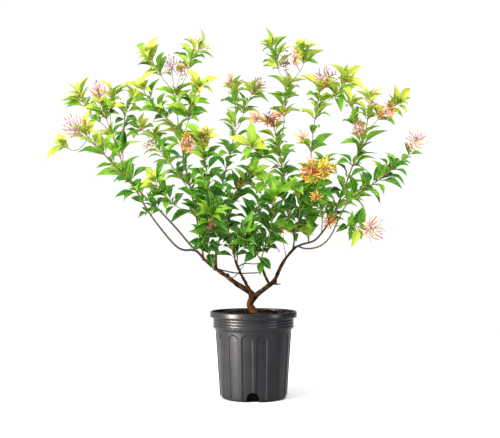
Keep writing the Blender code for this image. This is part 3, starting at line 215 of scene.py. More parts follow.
FLOWER_HEADS: tuple[Stem, ...] = (
    Stem("left_01", "left_01", -15, (1.8, 1.6), ((-45, 70), (-46, 70.9), (-47.4, 71.4))),
    Stem("left_02", "left_05", 4, (1.8, 1.6), ((-40.5, 78), (-41, 79.6), (-41.6, 81))),
    Stem("left_03", "left_06", 16, (1.8, 1.6), ((-37.5, 80.5), (-37.8, 81.3), (-38.3, 82.4))),
    Stem("left_04", "left_11", 8, (1.8, 1.6), ((-21, 81), (-21.7, 85), (-21.8, 87.6))),
    Stem("left_05", "left_08", -11, (1.8, 1.6), ((-19.4, 67.8), (-18.4, 67.9), (-17.2, 68.2))),
    Stem("left_06", "left_18", -25, (1.8, 1.6), ((-13.8, 69), (-13.6, 70.2), (-13.2, 71))),
    Stem("centre_01", "centre_02", 24, (1.8, 1.6), ((0, 81.5), (0.7, 82.4), (1.3, 83.4))),
    Stem("centre_02", "centre_07", 2, (1.8, 1.6), ((5.2, 73), (4.4, 74.2), (3.4, 75))),
    Stem("centre_03", "centre_08", 8, (1.8, 1.6), ((9, 83.5), (8.7, 87), (8.5, 89))),
    Stem("centre_04", "centre_10", 1, (1.8, 1.6), ((12.6, 86.9), (11.4, 88.7), (11, 90.3))),
    Stem("centre_05", "centre_07", -8, (1.8, 1.6), ((10.2, 45.4), (9, 45.2), (7.8, 45.3))),
    Stem("right_01", "right_01", 5, (1.8, 1.6), ((29.3, 68), (28.8, 69.8), (28.4, 71))),
    Stem("right_02", "right_03", -1, (1.8, 1.6), ((36, 76.4), (36.2, 77.4), (36.8, 78))),
    Stem("right_03", "right_04", -15, (1.8, 1.6), ((42.6, 67), (43.2, 68), (43.6, 69))),
    Stem("right_04", "right_05", -20, (1.8, 1.6), ((30.2, 45.2), (31, 45.2), (31.8, 44.8))),
    Stem("right_05", "right_06", -13, (1.8, 1.6), ((18, 82.5), (19, 84), (20, 84.9))),
    Stem("right_06", "right_08", -24, (1.8, 1.6), ((17, 59.5), (16.4, 60.4), (15.8, 61))),
    Stem("right_07", "right_01", -2, (1.8, 1.6), ((19.8, 45.8), (20.1, 47.2), (20.4, 48))),
)

# The broad leaves that stand out in the heart and on the left
BROAD_LEAVES: tuple[BroadLeaf, ...] = (
    BroadLeaf("centre_04", (4.6, 57.4), (0.6, 53.8), 1.5, 30, 0.52),
    BroadLeaf("centre_07", (8.7, 48.4), (10.8, 54.5), 1.0, 34, 0.0),
    BroadLeaf("centre_07", (8.9, 48.2), (13.1, 47.3), 2.5, 24, 0.1),
    BroadLeaf("centre_04", (-0.7, 48.6), (-3.2, 53.4), 2.0, 25, 0.12),
    BroadLeaf("centre_05", (-2.0, 41.4), (-5.2, 43.3), 3.0, 22, 0.15),
    BroadLeaf("centre_03", (-7.6, 44.9), (-2.8, 43.0), 1.5, 22, 0.5),
    BroadLeaf("centre_05", (1.5, 35.8), (1.7, 32.1), 2.5, 20, 0.3),
    BroadLeaf("left_07", (-34.3, 65.7), (-34.8, 71.9), 1.0, 27, 0.0),
    BroadLeaf("left_07", (-34.3, 74.3), (-37.2, 72.7), 2.0, 21, 0.05),
    BroadLeaf("left_07", (-34.0, 74.8), (-30.8, 73.2), 2.0, 21, 0.08),
)

# Where leaves are painted darker or brighter than round them, as painted shade and painted light: the middle
# and reach, as drawn, and the change of tint
SHADED_SPOTS: tuple[tuple[tuple[float, float], float, float], ...] = (
    ((-34.6, 71.1), 3.8, -0.3), ((10.6, 51.6), 3.4, -0.3), ((-1.7, 51.0), 2.8, -0.22),
    ((-5.7, 44.9), 4.6, -0.2), ((1.7, 55.6), 3.0, -0.2), ((24.0, 47.0), 11.0, 0.13),
    ((9.0, 66.0), 7.0, 0.08), ((9.8, 76.7), 4.5, 0.3), ((41.3, 65.7), 5.0, -0.3),
    ((35.5, 61.5), 4.5, -0.15), ((-10.8, 50.2), 3.5, -0.25), ((-1.2, 46.6), 3.0, -0.2))

SIDES = ("left", "centre", "right")

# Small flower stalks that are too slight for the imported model
SLIGHT_STALKS: tuple[Stem, ...] = (
    Stem("slight_01", "left_15", 18, (1.4, 1.2), ((-25.5, 66.3), (-27, 66.9), (-28.2, 67.1))),
    Stem("slight_02", "left_17", -21, (1.4, 1.0), ((-12.1, 45), (-11.6, 45.8), (-11.3, 46))),
    Stem("slight_03", "centre_01", 15, (1.4, 1.2), ((-5.4, 82.2), (-5.6, 83.4), (-6.0, 84.6))),
    Stem("slight_04", "centre_03", -15, (1.4, 1.2), ((-1.6, 57.8), (-2.1, 57.2), (-2.6, 56.8))),
    Stem("slight_05", "centre_11", -10, (1.4, 1.2), ((6.4, 61.6), (5.6, 60.2), (5.0, 59.2))),
    Stem("slight_06", "right_01", 10, (1.4, 1.2), ((30.9, 77), (31.5, 78.2), (31.8, 79))),
    Stem("slight_07", "right_08", -20, (1.4, 1.2), ((16.4, 54.6), (16.9, 53.8), (17, 53.2))),
    Stem("slight_08", "right_06", -9, (1.4, 1.2), ((15.6, 67.8), (14.2, 68.6), (13.2, 69.2))),
    Stem("slight_09", "left_11", 8, (1.4, 1.2), ((-20.9, 82), (-19.8, 85.4), (-19.4, 87.6))),
    Stem("slight_10", "centre_07", 3, (1.4, 1.2), ((5.4, 72.2), (2.8, 73.6), (0.8, 74.4))),
    Stem("slight_11", "centre_07", 5, (1.4, 1.2), ((5.6, 71.6), (6.4, 73.8), (6.8, 75.2))),
    Stem("slight_12", "right_08", -23, (1.4, 1.2), ((17, 59.3), (18, 60.2), (19, 60.8))),
)

BLOOMS: tuple[Bloom, ...] = (
    Bloom("left_01", (-51.6, 69.0), (-44.0, 75.6), 22, 7, (PINK, LILAC, ORANGE)),
    Bloom("left_02", (-44.2, 79.4), (-39.4, 84.9), 13, 5, (PINK, RED)),
    Bloom("left_03", (-39.6, 79.4), (-36.6, 83.0), 9, 2, (ORANGE, RED)),
    Bloom("left_04", (-24.8, 86.4), (-20.4, 92.4), 8, 12, (LILAC,)),
    Bloom("left_05", (-20.0, 64.8), (-14.0, 71.2), 30, 4, (ORANGE, YELLOW, RED, ORANGE)),
    Bloom("left_06", (-14.6, 67.4), (-10.8, 72.0), 8, 9, (DEEP_RED,)),
    Bloom("centre_01", (-1.8, 80.6), (4.0, 86.2), 18, 6, (PINK, RED, ORANGE)),
    Bloom("centre_02", (1.8, 71.8), (7.0, 76.6), 16, 8, (DEEP_RED, RED)),
    Bloom("centre_03", (6.4, 86.8), (9.9, 92.4), 7, 9, (LILAC,)),
    Bloom("centre_04", (9.6, 88.4), (13.4, 93.4), 11, 5, (ORANGE, YELLOW)),
    Bloom("centre_05", (5.2, 42.8), (9.8, 47.2), 13, 3, (ORANGE, YELLOW)),
    Bloom("right_01", (26.0, 69.0), (30.4, 74.8), 14, 9, (RED, ORANGE)),
    Bloom("right_02", (31.8, 73.9), (39.6, 79.0), 19, 4, (ORANGE, YELLOW, ORANGE)),
    Bloom("right_03", (40.4, 65.6), (46.8, 71.4), 15, 6, (PINK, YELLOW)),
    Bloom("right_04", (28.4, 41.2), (35.4, 48.4), 22, 7, (PINK, YELLOW, PINK)),
    Bloom("right_05", (16.0, 83.0), (22.8, 88.4), 17, 7, (PINK, LILAC, ORANGE)),
    Bloom("right_06", (12.2, 56.8), (18.0, 63.8), 30, 4, (RED, ORANGE, YELLOW, ORANGE)),
    Bloom("right_07", (18.0, 44.6), (22.8, 49.2), 20, 3, (RED, ORANGE, YELLOW)),
    Bloom("slight_01", (-30.4, 65.8), (-26.6, 68.8), 8, 1, (ORANGE, YELLOW)),
    Bloom("slight_02", (-12.6, 44.4), (-10.0, 47.4), 4, 4, (DEEP_RED,)),
    Bloom("slight_03", (-8.0, 82.6), (-4.2, 87.0), 11, 2, (ORANGE, YELLOW)),
    Bloom("slight_04", (-4.6, 55.2), (-1.4, 58.2), 6, 2, (PINK, RED)),
    Bloom("slight_05", (3.2, 57.2), (6.2, 60.4), 5, 1, (YELLOW,)),
    Bloom("slight_06", (29.9, 75.6), (33.6, 80.0), 8, 2, (ORANGE, YELLOW)),
    Bloom("slight_07", (14.8, 51.8), (18.6, 55.0), 10, 1, (ORANGE, YELLOW)),
    Bloom("slight_08", (10.8, 67.6), (14.6, 71.8), 9, 3, (YELLOW,)),
    Bloom("slight_09", (-21.4, 84.8), (-17.6, 90.2), 10, 2, (ORANGE, RED)),
    Bloom("slight_10", (-2.0, 72.4), (3.0, 76.8), 17, 1, (YELLOW, YELLOW, ORANGE)),
    Bloom("slight_11", (5.0, 73.6), (9.0, 77.8), 9, 2, (YELLOW, ORANGE)),
    Bloom("slight_12", (17.2, 57.6), (22.0, 64.0), 17, 1, (YELLOW, ORANGE)),
)

# The woody frame: each limb's points as (across, height, depth) in cm, and its width in mm at each
LIMBS: dict[str, tuple] = {
    "trunk": (((0.3, 15.0, 0.0), 22), ((0.3, 20.0, 0.0), 24), ((0.3, 21.6, 0.0), 24),
              ((0.1, 22.6, 0.0), 21.5), ((-0.9, 24.1, 0.1), 18), ((-1.0, 25.1, 0.1), 18),
              ((-0.1, 26.3, 0.0), 21), ((0.5, 27.1, 0.0), 19)),
    "left": (((0.3, 26.6, 0.0), 17), ((-1.0, 28.0, 0.1), 16), ((-3.0, 29.1, 0.2), 15),
             ((-5.0, 30.3, 0.4), 13), ((-7.0, 32.0, 0.6), 11.5), ((-9.5, 33.6, 0.8), 10.5),
             ((-12.0, 35.6, 1.0), 9), ((-13.4, 36.9, 1.1), 8.2), ((-15.2, 38.8, 1.2), 7)),
    "inner_left": (((-0.6, 27.6, 0.3), 10), ((-2.5, 31.0, 1.6), 8.5), ((-4.0, 34.0, 2.8), 7.5),
                   ((-4.9, 36.3, 3.8), 7)),
    "right": (((0.2, 26.5, 0.0), 15), ((1.5, 27.7, -0.1), 13.5), ((4.0, 29.5, -0.3), 12.5),
              ((5.7, 30.9, -0.5), 11), ((6.7, 33.5, -0.7), 10), ((8.0, 36.0, -0.9), 8.5),
              ((9.5, 38.0, -1.1), 7.5), ((11.2, 39.8, -1.3), 7)),
    "inner_right": (((4.4, 29.6, -0.4), 8.5), ((3.3, 31.5, -2.0), 7.5), ((2.6, 33.6, -3.2), 6.5),
                    ((2.0, 36.6, -4.6), 6)),
    "stub": (((5.2, 30.1, -0.5), 6), ((6.1, 30.0, -0.8), 5), ((7.3, 29.9, -1.1), 3.4)),
}
# Swellings of the wood: where they are, and how wide in mm
KNOTS: tuple = (((-7.0, 32.2, 0.6), 13.5), ((-10.2, 34.1, 0.8), 13), ((-13.2, 36.6, 1.1), 10.5),
                ((5.7, 30.8, -0.5), 13), ((-0.2, 26.7, 0.0), 23), ((9.5, 38.0, -1.1), 9))

# Dead twigs without leaves
TWIGS: tuple[Stem, ...] = (
    Stem("twig_01", "wood", -3, (4.4, 2.6), ((-9.7, 34.6), (-7, 33.3), (-4, 32.8), (-1, 32.9), (2, 33))),
    Stem("twig_02", "wood", 0, (4.6, 3.0), ((-10, 34), (-10.4, 36), (-10.0, 38.2), (-10.2, 40))),
    Stem("twig_03", "wood", -3, (2.2, 1.2), ((8.6, 37), (8.5, 38.4), (8.0, 40.6), (8, 43))),
    Stem("twig_04", "twig_01", -4, (2.6, 1.4), ((-4, 32.8), (-2.6, 31.6), (-1.6, 30.4))),
    Stem("twig_05", "wood", 5, (3.6, 2.0), ((-4.2, 34.6), (-2.4, 35.6), (0.4, 35.2), (2.4, 35.8))),
    Stem("twig_06", "wood", -2, (2.8, 1.6), ((-6.2, 31.3), (-4.6, 32.2), (-2.6, 34.8), (-2, 37))),
)

# Which shoots are shown as one piece
FAMILIES: dict[str, tuple[str, ...]] = {
    "left_outer": ("left_01", "left_02"),
    "left_high": ("left_03", "left_04", "left_05", "left_06", "left_07"),
    "left_middle": ("left_08", "left_09", "left_10", "left_14", "left_15", "left_16"),
    "left_top": ("left_11", "left_12", "left_13"),
    "left_inner": ("left_17", "left_18"),
    "centre_left": ("centre_01", "centre_02"),
    "centre_low": ("centre_03", "centre_04", "centre_05", "centre_06"),
    "centre_right": ("centre_07", "centre_08", "centre_09", "centre_10", "centre_11"),
    "right_outer": ("right_01", "right_02", "right_03"),
    "right_low": ("right_04", "right_05"),
    "right_inner": ("right_06", "right_07", "right_08", "right_09", "right_10"),
}


# Placing what is drawn

def place(across: float, height: float, depth: float) -> Vector:
    """Gives the point in space of a drawn point.

    Args:
        across: How far right of the middle it is drawn, in cm.
        height: How high it is drawn, in cm.
        depth: How far behind the middle it lies, in cm.

    Returns:
        The point, in metres.
    """
    grow = 1 + depth / SIGHT_DISTANCE
    return Vector((across * grow, depth, SIGHT_HEIGHT + (height - SIGHT_HEIGHT) * grow)) * CM


def drawn(point: Vector) -> Vector:
    """Gives where a point in space is drawn, across and up, in cm."""
    grow = 1 + point.y / CM / SIGHT_DISTANCE
    return Vector((point.x / CM / grow, SIGHT_HEIGHT + (point.z / CM - SIGHT_HEIGHT) / grow))


def square_to(way: Vector, axis: Vector) -> Vector:
    """Gives the part of a direction that is square to an axis, at length one."""
    left = way - axis * way.dot(axis) / axis.length_squared
    return left.normalized() if left.length > MERGE else axis.orthogonal().normalized()


def turn_to(run: Vector, upper: Vector) -> Vector:
    """Gives the turn that lays a shape's X along run and its Z towards upper, as Euler angles."""
    along = run.normalized()
    up = square_to(upper, along)
    return Vector(Matrix((along, up.cross(along), up)).transposed().to_euler())


def held(value: float, least: float = 0.0, most: float = 1.0) -> float:
    """Keeps a value within limits."""
    return min(max(value, least), most)


class Path:
    """A smooth stem path, with the stem's radius and the distance from its foot at each point."""

    ROUNDINGS = 2
    CUTS = (0.25, 0.75)  # where a corner's sides are cut, as shares of them

    def __init__(self, points: list[Vector], radii: list[float]) -> None:
        """Rounds the corners of a route.

        Args:
            points: The route's points, from the foot to the tip.
            radii: The stem's radius at each.
        """
        stations = [Vector((*point, radius)) for point, radius in zip(points, radii)]
        for _ in range(self.ROUNDINGS):
            cut = [stations[0]]
            for one, two in zip(stations, stations[1:]):
                cut += [one.lerp(two, share) for share in self.CUTS]
            stations = [*cut, stations[-1]]
        self.points = [station.xyz for station in stations]
        self.radii = [station.w for station in stations]
        self.reach = [0.0]
        for one, two in zip(self.points, self.points[1:]):
            self.reach.append(self.reach[-1] + (two - one).length)

    @property
    def length(self) -> float:
        """The length of the path."""
        return self.reach[-1]

    def at(self, distance: float) -> tuple[Vector, float, Vector]:
        """Gives the point, the radius and the tangent at a distance from the foot."""
        kept = held(distance, 0.0, self.length)
        index = 0
        while index < len(self.reach) - 2 and self.reach[index + 1] < kept:
            index += 1
        run = self.points[index + 1] - self.points[index]
        share = (kept - self.reach[index]) / run.length
        radius = self.radii[index] + (self.radii[index + 1] - self.radii[index]) * share
        return self.points[index] + run * share, radius, run.normalized()

    def steps(self, pitch: float, least: int) -> list[float]:
        """Gives distances along the path that are about a pitch apart, from foot to tip."""
        count = max(int(self.length / pitch), least)
        return [self.length * step / count for step in range(count + 1)]

    def nearest(self, spot: Vector) -> float:
        """Gives the distance from the foot of the place that is nearest to a spot."""
        best = (float("inf"), 0.0)
        for index, start in enumerate(self.points[:-1]):
            run = self.points[index + 1] - start
            share = held((spot - start).dot(run) / run.length_squared, 0, 1)
            best = min(best, ((spot - start - run * share).length, self.reach[index] + run.length * share))
        return best[1]

    def drawn_nearest(self, spot: tuple[float, float]) -> Vector:
        """Gives the point of the path that is drawn nearest to a drawn spot."""
        tried = [self.at(distance)[0] for distance in self.steps(MM, 1)]
        return min(tried, key=lambda point: (drawn(point) - Vector(spot)).length)


# Nodes and meshes

def linear(hex_colour: str) -> tuple[float, float, float, float]:
    """Turns an sRGB hex colour into linear red, green, blue and alpha."""
    channels = [int(hex_colour[index:index + 2], 16) / 255 for index in (0, 2, 4)]
    return (*[c / 12.92 if c <= 0.04045 else ((c + 0.055) / 1.055) ** 2.4 for c in channels], 1.0)


def set_inputs(node: Node, inputs: dict) -> None:
    """Gives a node's inputs, by name or number, a value, an output or the first output of a node."""
    for name, value in inputs.items():
        source = value.outputs[0] if isinstance(value, Node) else value
        if isinstance(source, NodeSocket):
            node.id_data.links.new(source, node.inputs[name])
        else:
            node.inputs[name].default_value = source


def add_node(tree: NodeTree, kind: str, inputs: dict | None = None,
             stops: tuple[tuple[float, str], ...] = (), **settings) -> Node:
    """Adds a node to a shader or geometry tree.

    Args:
        tree: The tree.
        kind: The node's type.
        inputs: A value, an output or a node for each input, by name or number.
        stops: The places and hex colours of a colour ramp.
        **settings: The node's own properties.

    Returns:
        The node.
    """
    node = tree.nodes.new(kind)
    for name, value in settings.items():
        setattr(node, name, value)
    set_inputs(node, inputs or {})
    for number, (where, colour) in enumerate(stops):
        elements = node.color_ramp.elements
        element = elements[number] if number < 2 else elements.new(where)
        element.position = where
        element.color = linear(colour)
    return node


def open_tree(name: str, **sockets: str) -> tuple[NodeTree, Callable[..., Node], dict]:
    """Starts a geometry tree.

    Args:
        name: The tree's name.
        **sockets: The kind of each named input beside the geometry.

    Returns:
        The tree, what adds a node to it, and what its inputs give.
    """
    tree = bpy.data.node_groups.new(name, "GeometryNodeTree")
    for title, kind in {"Geometry": "Geometry", **sockets}.items():
        tree.interface.new_socket(title, in_out="INPUT", socket_type=f"NodeSocket{kind}")
    tree.interface.new_socket("Geometry", in_out="OUTPUT", socket_type="NodeSocketGeometry")
    given = tree.nodes.new("NodeGroupInput").outputs
    return tree, partial(add_node, tree), given


def close_tree(tree: NodeTree, geometry: Node, finish: NodeSocket) -> NodeTree:
    """Ends a geometry tree in real geometry that carries its material."""
    real = add_node(tree, "GeometryNodeRealizeInstances", {"Geometry": geometry})
    dressed = add_node(tree, "GeometryNodeSetMaterial", {"Geometry": real, "Material": finish})
    add_node(tree, "NodeGroupOutput", {"Geometry": dressed})
    return tree


def plain_mesh(thing: Object) -> Object:
    """Turns an object with live modifiers into a plain mesh object."""
    graph = bpy.context.evaluated_depsgraph_get()
    made = bpy.data.meshes.new_from_object(thing.evaluated_get(graph), preserve_all_data_layers=True,
                                           depsgraph=graph)
    made.name = thing.name
    thing.modifiers.clear()
    thing.data = made
    return thing


def add_object(name: str, mesh: Mesh) -> Object:
    """Puts a mesh in the scene as an object at the origin."""
    thing = bpy.data.objects.new(name, mesh)
    bpy.context.scene.collection.objects.link(thing)
    return thing


def grown(name: str, mesh: Mesh, tree: NodeTree, **inputs) -> Object:
    """Runs a geometry tree on a mesh and keeps what it makes.

    Args:
        name: The piece's name.
        mesh: What the tree starts from.
        tree: The geometry tree.
        **inputs: A value for each of the tree's named inputs.

    Returns:
        The piece, a plain mesh.
    """
    thing = add_object(name, mesh)
    modifier = thing.modifiers.new(tree.name, "NODES")
    modifier.node_group = tree
    for socket in tree.interface.items_tree:
        if socket.in_out == "INPUT" and socket.name in inputs:
            modifier[socket.identifier] = inputs[socket.name]
    return plain_mesh(thing)


def store(mesh: Mesh, name: str, kind: str, values: list, domain: str = "POINT") -> None:
    """Keeps one value for each point or face of a mesh as a named attribute."""
    attribute = mesh.attributes.new(name, kind, domain)
    if kind == "FLOAT_VECTOR":
        attribute.data.foreach_set("vector", [part for value in values for part in value])
    else:
        attribute.data.foreach_set("value", values)


def plain(name: str, verts: list, faces: list) -> Mesh:
    """Makes a smooth mesh from points and faces."""
    mesh = bpy.data.meshes.new(name)
    mesh.from_pydata([tuple(vert) for vert in verts], [], faces)
    mesh.shade_smooth()
    return mesh


def bands(rings: list[list], first: int = 0) -> list[range]:
    """Gives the numbers that the points of each ring have, in one row of points."""
    made = []
    for ring in rings:
        made.append(range(first, first + len(ring)))
        first += len(ring)
    return made


def ring_faces(rings: list[range], order: tuple[int, ...] = (0, 1, 2, 3)) -> list[tuple[int, ...]]:
    """Gives the faces between rings of points.

    Args:
        rings: The numbers of each ring's points. A ring of one point is a pole.
        order: Which way the corners run: low, low after, high after, high.

    Returns:
        The faces, ring by ring.
    """
    faces = []
    sides = max(len(ring) for ring in rings)
    for low, high in zip(rings, rings[1:]):
        for step in range(sides):
            after = (step + 1) % sides
            corners = (low[step % len(low)], low[after % len(low)], high[after % len(high)],
                       high[step % len(high)])
            faces.append(tuple(dict.fromkeys(corners[number] for number in order)))
    return faces


def lofted(name: str, rings: list[list[Vector]], end: Vector, spots: list[tuple[float, float]],
           edge: float) -> Mesh:
    """Joins rings of points into a closed, smooth mesh that ends in a point.

    Args:
        name: The mesh's name.
        rings: The rings, each with as many points.
        end: The point that the last ring is joined to.
        spots: The UV spot of each point, and of the end.
        edge: The angle from which an edge is sharp.

    Returns:
        The mesh, with every face outwards.
    """
    numbers = bands([*rings, [end]])
    faces = [*ring_faces(numbers, (0, 3, 2, 1)), tuple(numbers[0])]
    mesh = plain(name, [*(point for ring in rings for point in ring), end], faces)
    model = bmesh.new()
    model.from_mesh(mesh)
    bmesh.ops.recalc_face_normals(model, faces=model.faces)
    model.to_mesh(mesh)
    model.free()
    layer = mesh.uv_layers.new(name="UVMap")
    for loop in mesh.loops:
        layer.data[loop.index].uv = spots[loop.vertex_index]
    mesh.set_sharp_from_angle(angle=edge)
    return mesh


def shelf(name: str, meshes: list[Mesh]) -> Collection:
    """Puts shapes on a shelf outside the scene, in their order, for a tree to pick from."""
    kept = bpy.data.collections.new(name)
    for number, mesh in enumerate(meshes):
        kept.objects.link(bpy.data.objects.new(f"{name}_{number:02d}", mesh))
    return kept


def clear_shelf(kept: Collection) -> None:
    """Takes a shelf and its shapes away."""
    for thing in list(kept.objects):
        bpy.data.objects.remove(thing)
    bpy.data.collections.remove(kept)


def tube_tree() -> NodeTree:
    """The tree that turns lines with a radius at each point into round stems."""
    tree, add, given = open_tree("stems along lines", Sides="Int", Finish="Material")
    lines = add("GeometryNodeMeshToCurve", {"Mesh": given["Geometry"]})
    circle = add("GeometryNodeCurvePrimitiveCircle", {"Resolution": given["Sides"], "Radius": 1.0})
    radius = add("GeometryNodeInputNamedAttribute", {"Name": "radius"}, data_type="FLOAT")
    tube = add("GeometryNodeCurveToMesh", {"Curve": lines, "Profile Curve": circle,
                                           "Scale": radius.outputs["Attribute"], "Fill Caps": True})
    smooth = add("GeometryNodeSetShadeSmooth", {"Geometry": tube})
    return close_tree(tree, smooth, given["Finish"])


def scatter_tree() -> NodeTree:
    """The tree that sets a shape of a shelf on each point, turned and sized as the point says."""
    tree, add, given = open_tree("shapes on points", Shapes="Collection", Finish="Material")
    shapes = add("GeometryNodeCollectionInfo", {"Collection": given["Shapes"], "Separate Children": True,
                                                "Reset Children": True})
    turn, size, shape = (add("GeometryNodeInputNamedAttribute", {"Name": name}, data_type=kind)
                         .outputs["Attribute"] for name, kind in
                         (("turn", "FLOAT_VECTOR"), ("size", "FLOAT_VECTOR"), ("shape", "INT")))
    rotation = add("FunctionNodeEulerToRotation", {"Euler": turn})
    placed = add("GeometryNodeInstanceOnPoints", {
        "Points": given["Geometry"], "Instance": shapes, "Pick Instance": True, "Instance Index": shape,
        "Rotation": rotation, "Scale": size})
    return close_tree(tree, placed, given["Finish"])


Line = list[tuple[Vector, float, float]]  # points, each with the stem's radius and its age, 1 at a tip


def line_mesh(name: str, lines: list[Line]) -> Mesh:
    """Makes the mesh of edges that the tube tree starts from."""
    points = [spot for line in lines for spot in line]
    edges = [pair for numbers in bands(lines) for pair in zip(numbers, numbers[1:])]
    mesh = bpy.data.meshes.new(name)
    mesh.from_pydata([tuple(spot[0]) for spot in points], edges, [])
    store(mesh, "radius", "FLOAT", [spot[1] for spot in points])
    store(mesh, "age", "FLOAT", [spot[2] for spot in points])
    return mesh


@dataclass
class Seat:
    """Where a leaf, flower or bud sits: its foot, its way and length, its upper side and its width."""

    foot: Vector
    run: Vector
    upper: Vector
    width: float
    shape: int
    tint: float
    blush: float = 0.0


def seat_mesh(name: str, seats: list[Seat]) -> Mesh:
    """Makes the points that the scatter tree starts from, with what each says as attributes."""
    mesh = bpy.data.meshes.new(name)
    mesh.from_pydata([tuple(seat.foot) for seat in seats], [], [])
    store(mesh, "turn", "FLOAT_VECTOR", [turn_to(seat.run, seat.upper) for seat in seats])
    store(mesh, "size", "FLOAT_VECTOR", [(seat.run.length, seat.width, seat.run.length) for seat in seats])
    for title, kind in (("shape", "INT"), ("tint", "FLOAT"), ("blush", "FLOAT")):
        store(mesh, title, kind, [getattr(seat, title) for seat in seats])
    return mesh


class Framework:
    """The smooth paths of the limbs, twigs, shoots and flower stalks, set out as in the model."""

    def __init__(self) -> None:
        """Sets every stem out from the point of its carrier that is drawn nearest to its foot."""
        self.limbs: dict[str, Path] = {}
        for name, stations in LIMBS.items():
            points = [place(*spot) for spot, _ in stations]
            self.limbs[name] = Path(points, [width / 2 * MM for _, width in stations])
        self.stems: dict[str, Path] = {}
        waiting = [*SHOOTS, *TWIGS]
        while waiting:
            stem = next(one for one in waiting if one.carrier in ("wood", *self.stems))
            waiting.remove(stem)
            self.stems[stem.name] = self.set_out(stem)
        self.stalks = {stalk.name: self.set_out(stalk) for stalk in (*FLOWER_HEADS, *SLIGHT_STALKS)}

    def set_out(self, stem: Stem) -> Path:
        """Sets out one stem.

        Args:
            stem: The stem, with its drawn route.

        Returns:
            Its smooth path, which starts at the middle of its carrier.
        """
        carriers = self.limbs.values() if stem.carrier == "wood" else [self.stems[stem.carrier]]
        starts = [carrier.drawn_nearest(stem.route[0]) for carrier in carriers]
        start = min(starts, key=lambda point: (drawn(point) - Vector(stem.route[0])).length)
        reach = [0.0]
        for one, two in zip(stem.route, stem.route[1:]):
            reach.append(reach[-1] + hypot(two[0] - one[0], two[1] - one[1]))
        first = start.y / CM
        points = [start]
        for spot, length in zip(stem.route[1:], reach[1:]):
            points.append(place(*spot, first + (stem.depth - first) * length / reach[-1]))
        low, high = (width / 2 * MM for width in stem.widths)
        count = len(points) - 1
        return Path(points, [low + (high - low) * step / count for step in range(count + 1)])


# Leaves

@dataclass(frozen=True)
class LeafShape:
    """One bend of leaf, in shares of its length: a lens of firebush outline on a short leaf stalk."""

    arch: float  # how high its back stands over the line from foot to tip
    skew: float  # under one where it bends near its foot, over one near its tip
    fold: float  # how steeply its halves rise from the midrib
    twist: float  # turn from foot to tip, in radians
    wave: float  # how far its margin waves

    SLENDERNESS = 0.38
    THICKNESS = 0.006
    STALK_SHARE, STALK_THICKENING = 0.12, 3
    WAVES = 5
    LEVEL = 0.4  # the share along the leaf where its twist is nil
    # Half widths along the leaf, as shares of its full width
    OUTLINE = ((0.0, 0.042), (0.12, 0.034), (0.2, 0.17), (0.34, 0.42), (0.5, 0.5), (0.68, 0.385),
               (0.86, 0.15))
    ACROSS = (-1, -0.5, 0, 0.5, 1)
    EDGE = radians(70)

    def point(self, along: float, half: float, across: float, depth: float) -> Vector:
        """Gives a point of the leaf, at a share along it and across it, and a depth under its top."""
        rise = self.arch * sin(pi * along ** self.skew)
        side = across * half
        lift = abs(side) * self.fold * self.SLENDERNESS * 2
        lift += self.wave * abs(across) * sin(along * self.WAVES * pi + across)
        turn = self.twist * (along - self.LEVEL)
        return Vector((along, side * cos(turn), rise + lift + side * sin(turn) * self.SLENDERNESS - depth))

    def mesh(self, name: str) -> Mesh:
        """Builds the leaf, one long and one wide, with its foot at the origin.

        Args:
            name: The mesh's name.

        Returns:
            A closed mesh with a UV map along and across it, and the share "under" on its lower faces.
        """
        rings, spots = [], []
        for along, half in self.OUTLINE:
            depth = self.THICKNESS * (self.STALK_THICKENING if along <= self.STALK_SHARE else 1)
            ring = [(across, 0) for across in self.ACROSS]
            ring += [(across, depth) for across in self.ACROSS[-2:0:-1]]
            rings.append([self.point(along, half, across, under) for across, under in ring])
            spots += [(along, across * half + 0.5) for across, _ in ring]
        mesh = lofted(name, rings, self.point(1, 0, 0, 0), [*spots, (1, 0.5)], self.EDGE)
        sides = len(rings[0])
        under = [float(step >= sides // 2) for _ in rings for step in range(sides)]
        store(mesh, "under", "FLOAT", [*under, 1.0], "FACE")
        return mesh


